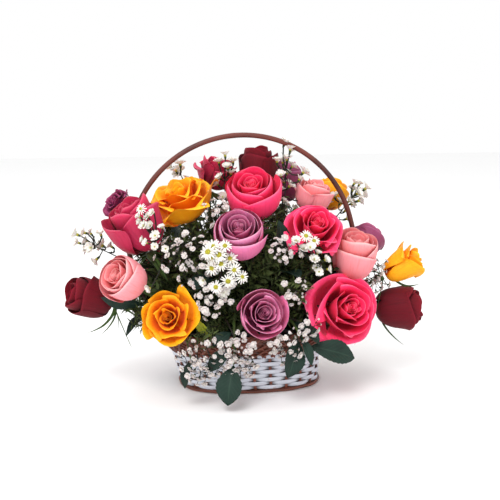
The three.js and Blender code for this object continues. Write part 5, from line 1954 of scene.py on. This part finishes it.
@dataclass
class Basket:
    """The oval basket: base, woven wall, plaited border, bent handle, liner and foam."""

    oval: Oval = Oval()
    base_half: float = 0.089
    base_thick: float = 0.004
    wall_foot: float = 0.087
    wall_top: float = 0.095
    wall_tall: float = 0.050
    wall_thick: float = 0.0035
    stakes: int = 28
    rows: int = 9
    border_half: float = 0.118
    strands: int = 56
    handle_radius: float = 0.141
    handle_centre: float = 0.1692
    handle_thick: float = 0.0064

    def wall_half(self, z: float) -> float:
        """Half the length of the wall's outside, at a height."""
        return self.wall_foot + (self.wall_top - self.wall_foot) * z / self.wall_tall

    def base(self) -> None:
        """Builds the base: a plate and the waved cane round its edge."""
        piece = Piece("base_plate", "plaited_cane", [Skin.PLAIT])
        half, thick = self.base_half - 0.003, self.base_thick - 0.0006
        profile = [(0, 0), (half, 0), (half, thick), (0, thick)]
        piece.spun(profile, 112, self.oval.at, Skin.PLAIT)
        band = []
        for k in range(224):
            angle = TURN * k / 224
            wave = math.cos(angle * self.stakes / 2)
            band.append(self.oval.at(angle, self.base_half - 0.0012, 0.0024 + 0.0005 * wave))
        piece.tube(band, 0.0019, 8, Skin.PLAIT, 0.3, looped=True)
        piece.done("basket_base")

    def stake(self, piece: Piece, number: int) -> None:
        """Adds one upright flat stake of the wall.

        Args:
            piece: The wall.
            number: Which stake it is, round the oval.
        """
        angle = TURN * number / self.stakes
        across, along = lattice(4, 10)
        places = np.empty((*across.shape, 3))
        for spot in np.ndindex(across.shape):
            z = 0.0012 + along[spot] * (self.wall_tall - 0.0012)
            half = self.wall_half(z) - self.wall_thick / 2
            places[spot] = self.oval.at(angle + across[spot] * 0.0017 / half, half, z)
        piece.sheet(places, 0.0016, Skin.PLAIT, (number * 0.37) % 0.8)

    def wall(self) -> None:
        """Builds the wall: white splints woven over and under brown stakes."""
        piece = Piece("woven_wall", "white_splint", [Skin.SPLINT, Skin.PLAIT])
        bottom = 0.0046
        pitch = (self.wall_tall + 0.001 - bottom) / self.rows
        steps = self.stakes * 8
        section = [(-1, 0.0), (-0.7, 0.55), (0.0, 0.75), (0.7, 0.55), (1, 0.0), (0.5, -0.4), (-0.5, -0.4)]
        for row in range(self.rows):
            centre = bottom + (row + 0.5) * pitch
            draw = Random(40 + row)
            lifts = [draw.uniform(-0.25, 0.25) for _ in range(self.stakes)]
            places = np.empty((steps + 1, len(section) + 1, 3))
            tones = np.empty((steps + 1, len(section) + 1))
            for step in range(steps + 1):
                angle = TURN * step / steps
                over = math.cos(angle * self.stakes / 2 + math.pi * row)
                shaped = math.copysign(abs(over) ** 0.8, over)
                tall = pitch * (0.54 - 0.24 * max(0.0, -over - 0.2) ** 1.5)
                sway = lifts[(step // 8) % self.stakes] * 0.0004 * math.sin(math.pi * (step % 8) / 8)
                for k, (high, out) in enumerate([*section, section[0]]):
                    z = centre + high * tall + sway
                    half = self.wall_half(z) - self.wall_thick / 2 + 0.0016 * shaped + out * 0.0009
                    places[step, k] = self.oval.at(angle, half, z)
                    # The tone is painted shade: full where the splint dips behind a stake, and some along
                    # its top and bottom edges, where the rows meet.
                    tones[step, k] = min(1.0, max(0.0, -over - 0.5) * 2.0) + 0.3 * max(0.0, abs(high) - 0.7)
            made = piece.skin(places, Skin.SPLINT, tones, flip=True)
            bmesh.ops.remove_doubles(piece.body, verts=made, dist=MERGE)
        for number in range(self.stakes):
            self.stake(piece, number)
        piece.done("basket_weave")

    def border(self) -> None:
        """Builds the flared border: two layers of slanting strands round a core, with a rope on top."""
        piece = Piece("plaited_border", "plaited_cane", [Skin.PLAIT])
        low, half = self.wall_tall - 0.002, self.border_half
        profile = [
            (self.wall_top - 0.003, low + 0.0026),
            (self.wall_top + 0.0005, low + 0.0026),
            (half - 0.0045, 0.070),
            (half - 0.0035, 0.0735),
            (half - 0.0065, 0.0735),
            (self.wall_top - 0.003, low + 0.0026),
        ]
        piece.spun(profile, 112, self.oval.at, Skin.PLAIT)
        draw = Random(8)
        for layer, (hand, sink) in enumerate(((1, 0.0), (-1, 0.0013))):
            for k in range(self.strands):
                start = TURN * (k + 0.5 * layer) / self.strands + draw.uniform(-0.01, 0.01)
                slant = hand * draw.uniform(0.34, 0.4)
                stops = (
                    (0.0, self.wall_top + 0.0005, low),
                    (0.3, self.wall_top + 0.0075, low + 0.0085),
                    (0.62, half - 0.0055, 0.0665),
                    (0.84, half - 0.0015, 0.0742),
                    (0.96, half - 0.0045, 0.0768),
                    (1.1, half - 0.009, 0.0752),
                )
                line = [self.oval.at(start + slant * share, r - sink, z - sink / 2) for share, r, z in stops]
                line = flowing(line, 12)
                thick = 0.0013 * draw.uniform(0.85, 1.15)
                piece.tube(line, thick, 6, Skin.PLAIT, draw.random() * 0.85)
        count = 560
        for strand in range(3):
            line = []
            for k in range(count):
                angle = TURN * k / count
                twist = angle * 40 + strand * TURN / 3
                rise = 0.0012 * math.cos(angle * self.stakes)
                half_here = half - 0.0042 + 0.0017 * math.cos(twist)
                line.append(self.oval.at(angle, half_here, 0.0752 + rise + 0.0017 * math.sin(twist)))
            piece.tube(line, 0.0014, 6, Skin.PLAIT, 0.2 + 0.25 * strand, looped=True)
        piece.done("basket_border")

    def handle(self) -> None:
        """Builds the bent cane handle, with its faint joints."""
        piece = Piece("bent_handle", "bent_cane", [Skin.BENT])
        rise = ((0.079, 0.012), (0.0845, 0.048), (0.101, 0.076), (0.125, 0.118))
        left = [Vector((self.oval.shift(z) - half, 0, z)) for half, z in rise]
        right = [Vector((self.oval.shift(z) + half, 0, z)) for half, z in reversed(rise)]
        arch = []
        for k in range(13):
            angle = math.pi * k / 12
            x = self.oval.lean - self.handle_radius * math.cos(angle)
            arch.append(Vector((x, 0, self.handle_centre + self.handle_radius * math.sin(angle))))
        count = 150
        line = flowing([*left, *arch, *right], count)
        radii = []
        for k in range(count + 1):
            joint = abs((k % 21) - 10) / 10
            radii.append(self.handle_thick / 2 * (0.97 + 0.05 * (1 - joint) ** 8))
        piece.tube(line, radii, 18, Skin.BENT, 0.4)
        piece.done("basket_handle")

    def liner(self) -> None:
        """Builds the thin black film that lines the basket, with a creased free edge."""
        piece = Piece("liner_film", "black_film", [Skin.FILM])
        thick = 0.0006
        low = 0.0043
        outer = [(0, low), (0.069, low), (0.075, 0.03), (0.0765, 0.050), (0.088, 0.066), (0.0965, 0.080)]
        inner = [(radius - thick, z) for radius, z in reversed(outer[1:-1])]
        profile = [*outer, (0.0965 - thick, 0.0803), *inner, (0, low + thick)]

        def shape(angle: float, radius: float, z: float) -> Vector:
            """A corner of the film, creased more towards its free edge.

            Args:
                angle: Its angle about the oval's middle.
                radius: Half the length of its oval.
                z: Its height.

            Returns:
                Its place.
            """
            loose = max(0.0, (z - 0.05) / 0.03)
            crease = math.sin(angle * 23 + 2 * math.sin(angle * 5)) + 0.6 * math.sin(angle * 41)
            rise = 0.0016 * math.sin(angle * 9) * loose
            return self.oval.at(angle, radius + 0.0014 * crease * loose, z + rise)

        piece.spun(profile, 180, shape, Skin.FILM)
        piece.done("liner")

    def foam(self) -> None:
        """Gives the foam block, whose own shape is right, its crumbly finish."""
        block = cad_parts["floral_foam"]
        block.data.materials.clear()
        block.data.materials.append(dressing(Skin.FOAM))

    def build(self) -> None:
        """Builds the whole basket."""
        self.base()
        self.wall()
        self.border()
        self.handle()
        self.liner()
        self.foam()


@dataclass(frozen=True)
class Lamp:
    """A square studio lamp: where it hangs, its side and its power."""

    name: str
    at: Point
    side: float
    power: float


@dataclass
class Studio:
    """The pale floor, the soft light and the camera."""

    floor_side: float = 6.0
    daylight: float = 1.0
    lamps: tuple[Lamp, ...] = (
        Lamp("key", (-0.6, -1.2, 1.5), 0.8, 22.0),
        Lamp("fill", (1.2, -1.0, 0.7), 1.2, 2.0),
        Lamp("top", (0.0, 0.5, 1.8), 1.2, 7.0),
    )

    def floor(self) -> None:
        """Lays the floor."""
        body = bmesh.new()
        bmesh.ops.create_grid(body, x_segments=1, y_segments=1, size=self.floor_side / 2)
        mesh = bpy.data.meshes.new("floor")
        body.to_mesh(mesh)
        body.free()
        pale = bpy.data.materials.new("floor")
        pale.use_nodes = True
        inputs = pale.node_tree.nodes["Principled BSDF"].inputs
        inputs["Base Color"].default_value = (0.92, 0.92, 0.92, 1)
        inputs["Roughness"].default_value = 0.9
        mesh.materials.append(pale)
        floor = bpy.data.objects.new("floor", mesh)
        bpy.context.scene.collection.objects.link(floor)

    def light(self) -> None:
        """Hangs the lamps and sets the daylight."""
        for lamp in self.lamps:
            data = bpy.data.lights.new(lamp.name, "AREA")
            data.size = lamp.side
            data.energy = lamp.power
            made = bpy.data.objects.new(lamp.name, data)
            aim = Vector((0, 0, 0.15)) - Vector(lamp.at)
            turn = aim.to_track_quat("-Z", "Y").to_matrix().to_4x4()
            made.matrix_world = Matrix.Translation(lamp.at) @ turn
            bpy.context.scene.collection.objects.link(made)
        world = bpy.data.worlds.new("daylight")
        world.use_nodes = True
        inputs = world.node_tree.nodes["Background"].inputs
        inputs["Color"].default_value = (1, 1, 1, 1)
        inputs["Strength"].default_value = self.daylight
        bpy.context.scene.world = world

    def build(self) -> None:
        """Sets up the studio."""
        bpy.context.scene.view_settings.view_transform = "Standard"
        self.floor()
        self.light()
        bpy.context.scene.camera = VIEW.camera()


def main() -> None:
    """Builds the arrangement piece by piece."""
    logging.basicConfig(level=logging.INFO, format="%(name)s %(message)s")
    Studio().build()
    room = Room(BLOOMS)
    Basket().build()
    for number, bloom in enumerate(BLOOMS):
        Rose(bloom, number).build()
    RoseStems(room).build()
    foliage = Foliage(room)
    foliage.leafy()
    foliage.fronds()
    foliage.greenery()
    asters = Flowers(AsterSpray.finishes)
    open_heads = [asters.aster(True) for _ in range(4)]
    closing = [asters.aster(False) for _ in range(4)]
    for spray in ASTER_SPRAYS:
        AsterSpray(room, spray).build(open_heads, closing)
    breath = Flowers(BreathSpray.finishes)
    florets = [breath.floret() for _ in range(6)]
    for spray in BREATH_SPRAYS:
        BreathSpray(room, spray).build(florets)


if __name__ == "__main__":
    main()
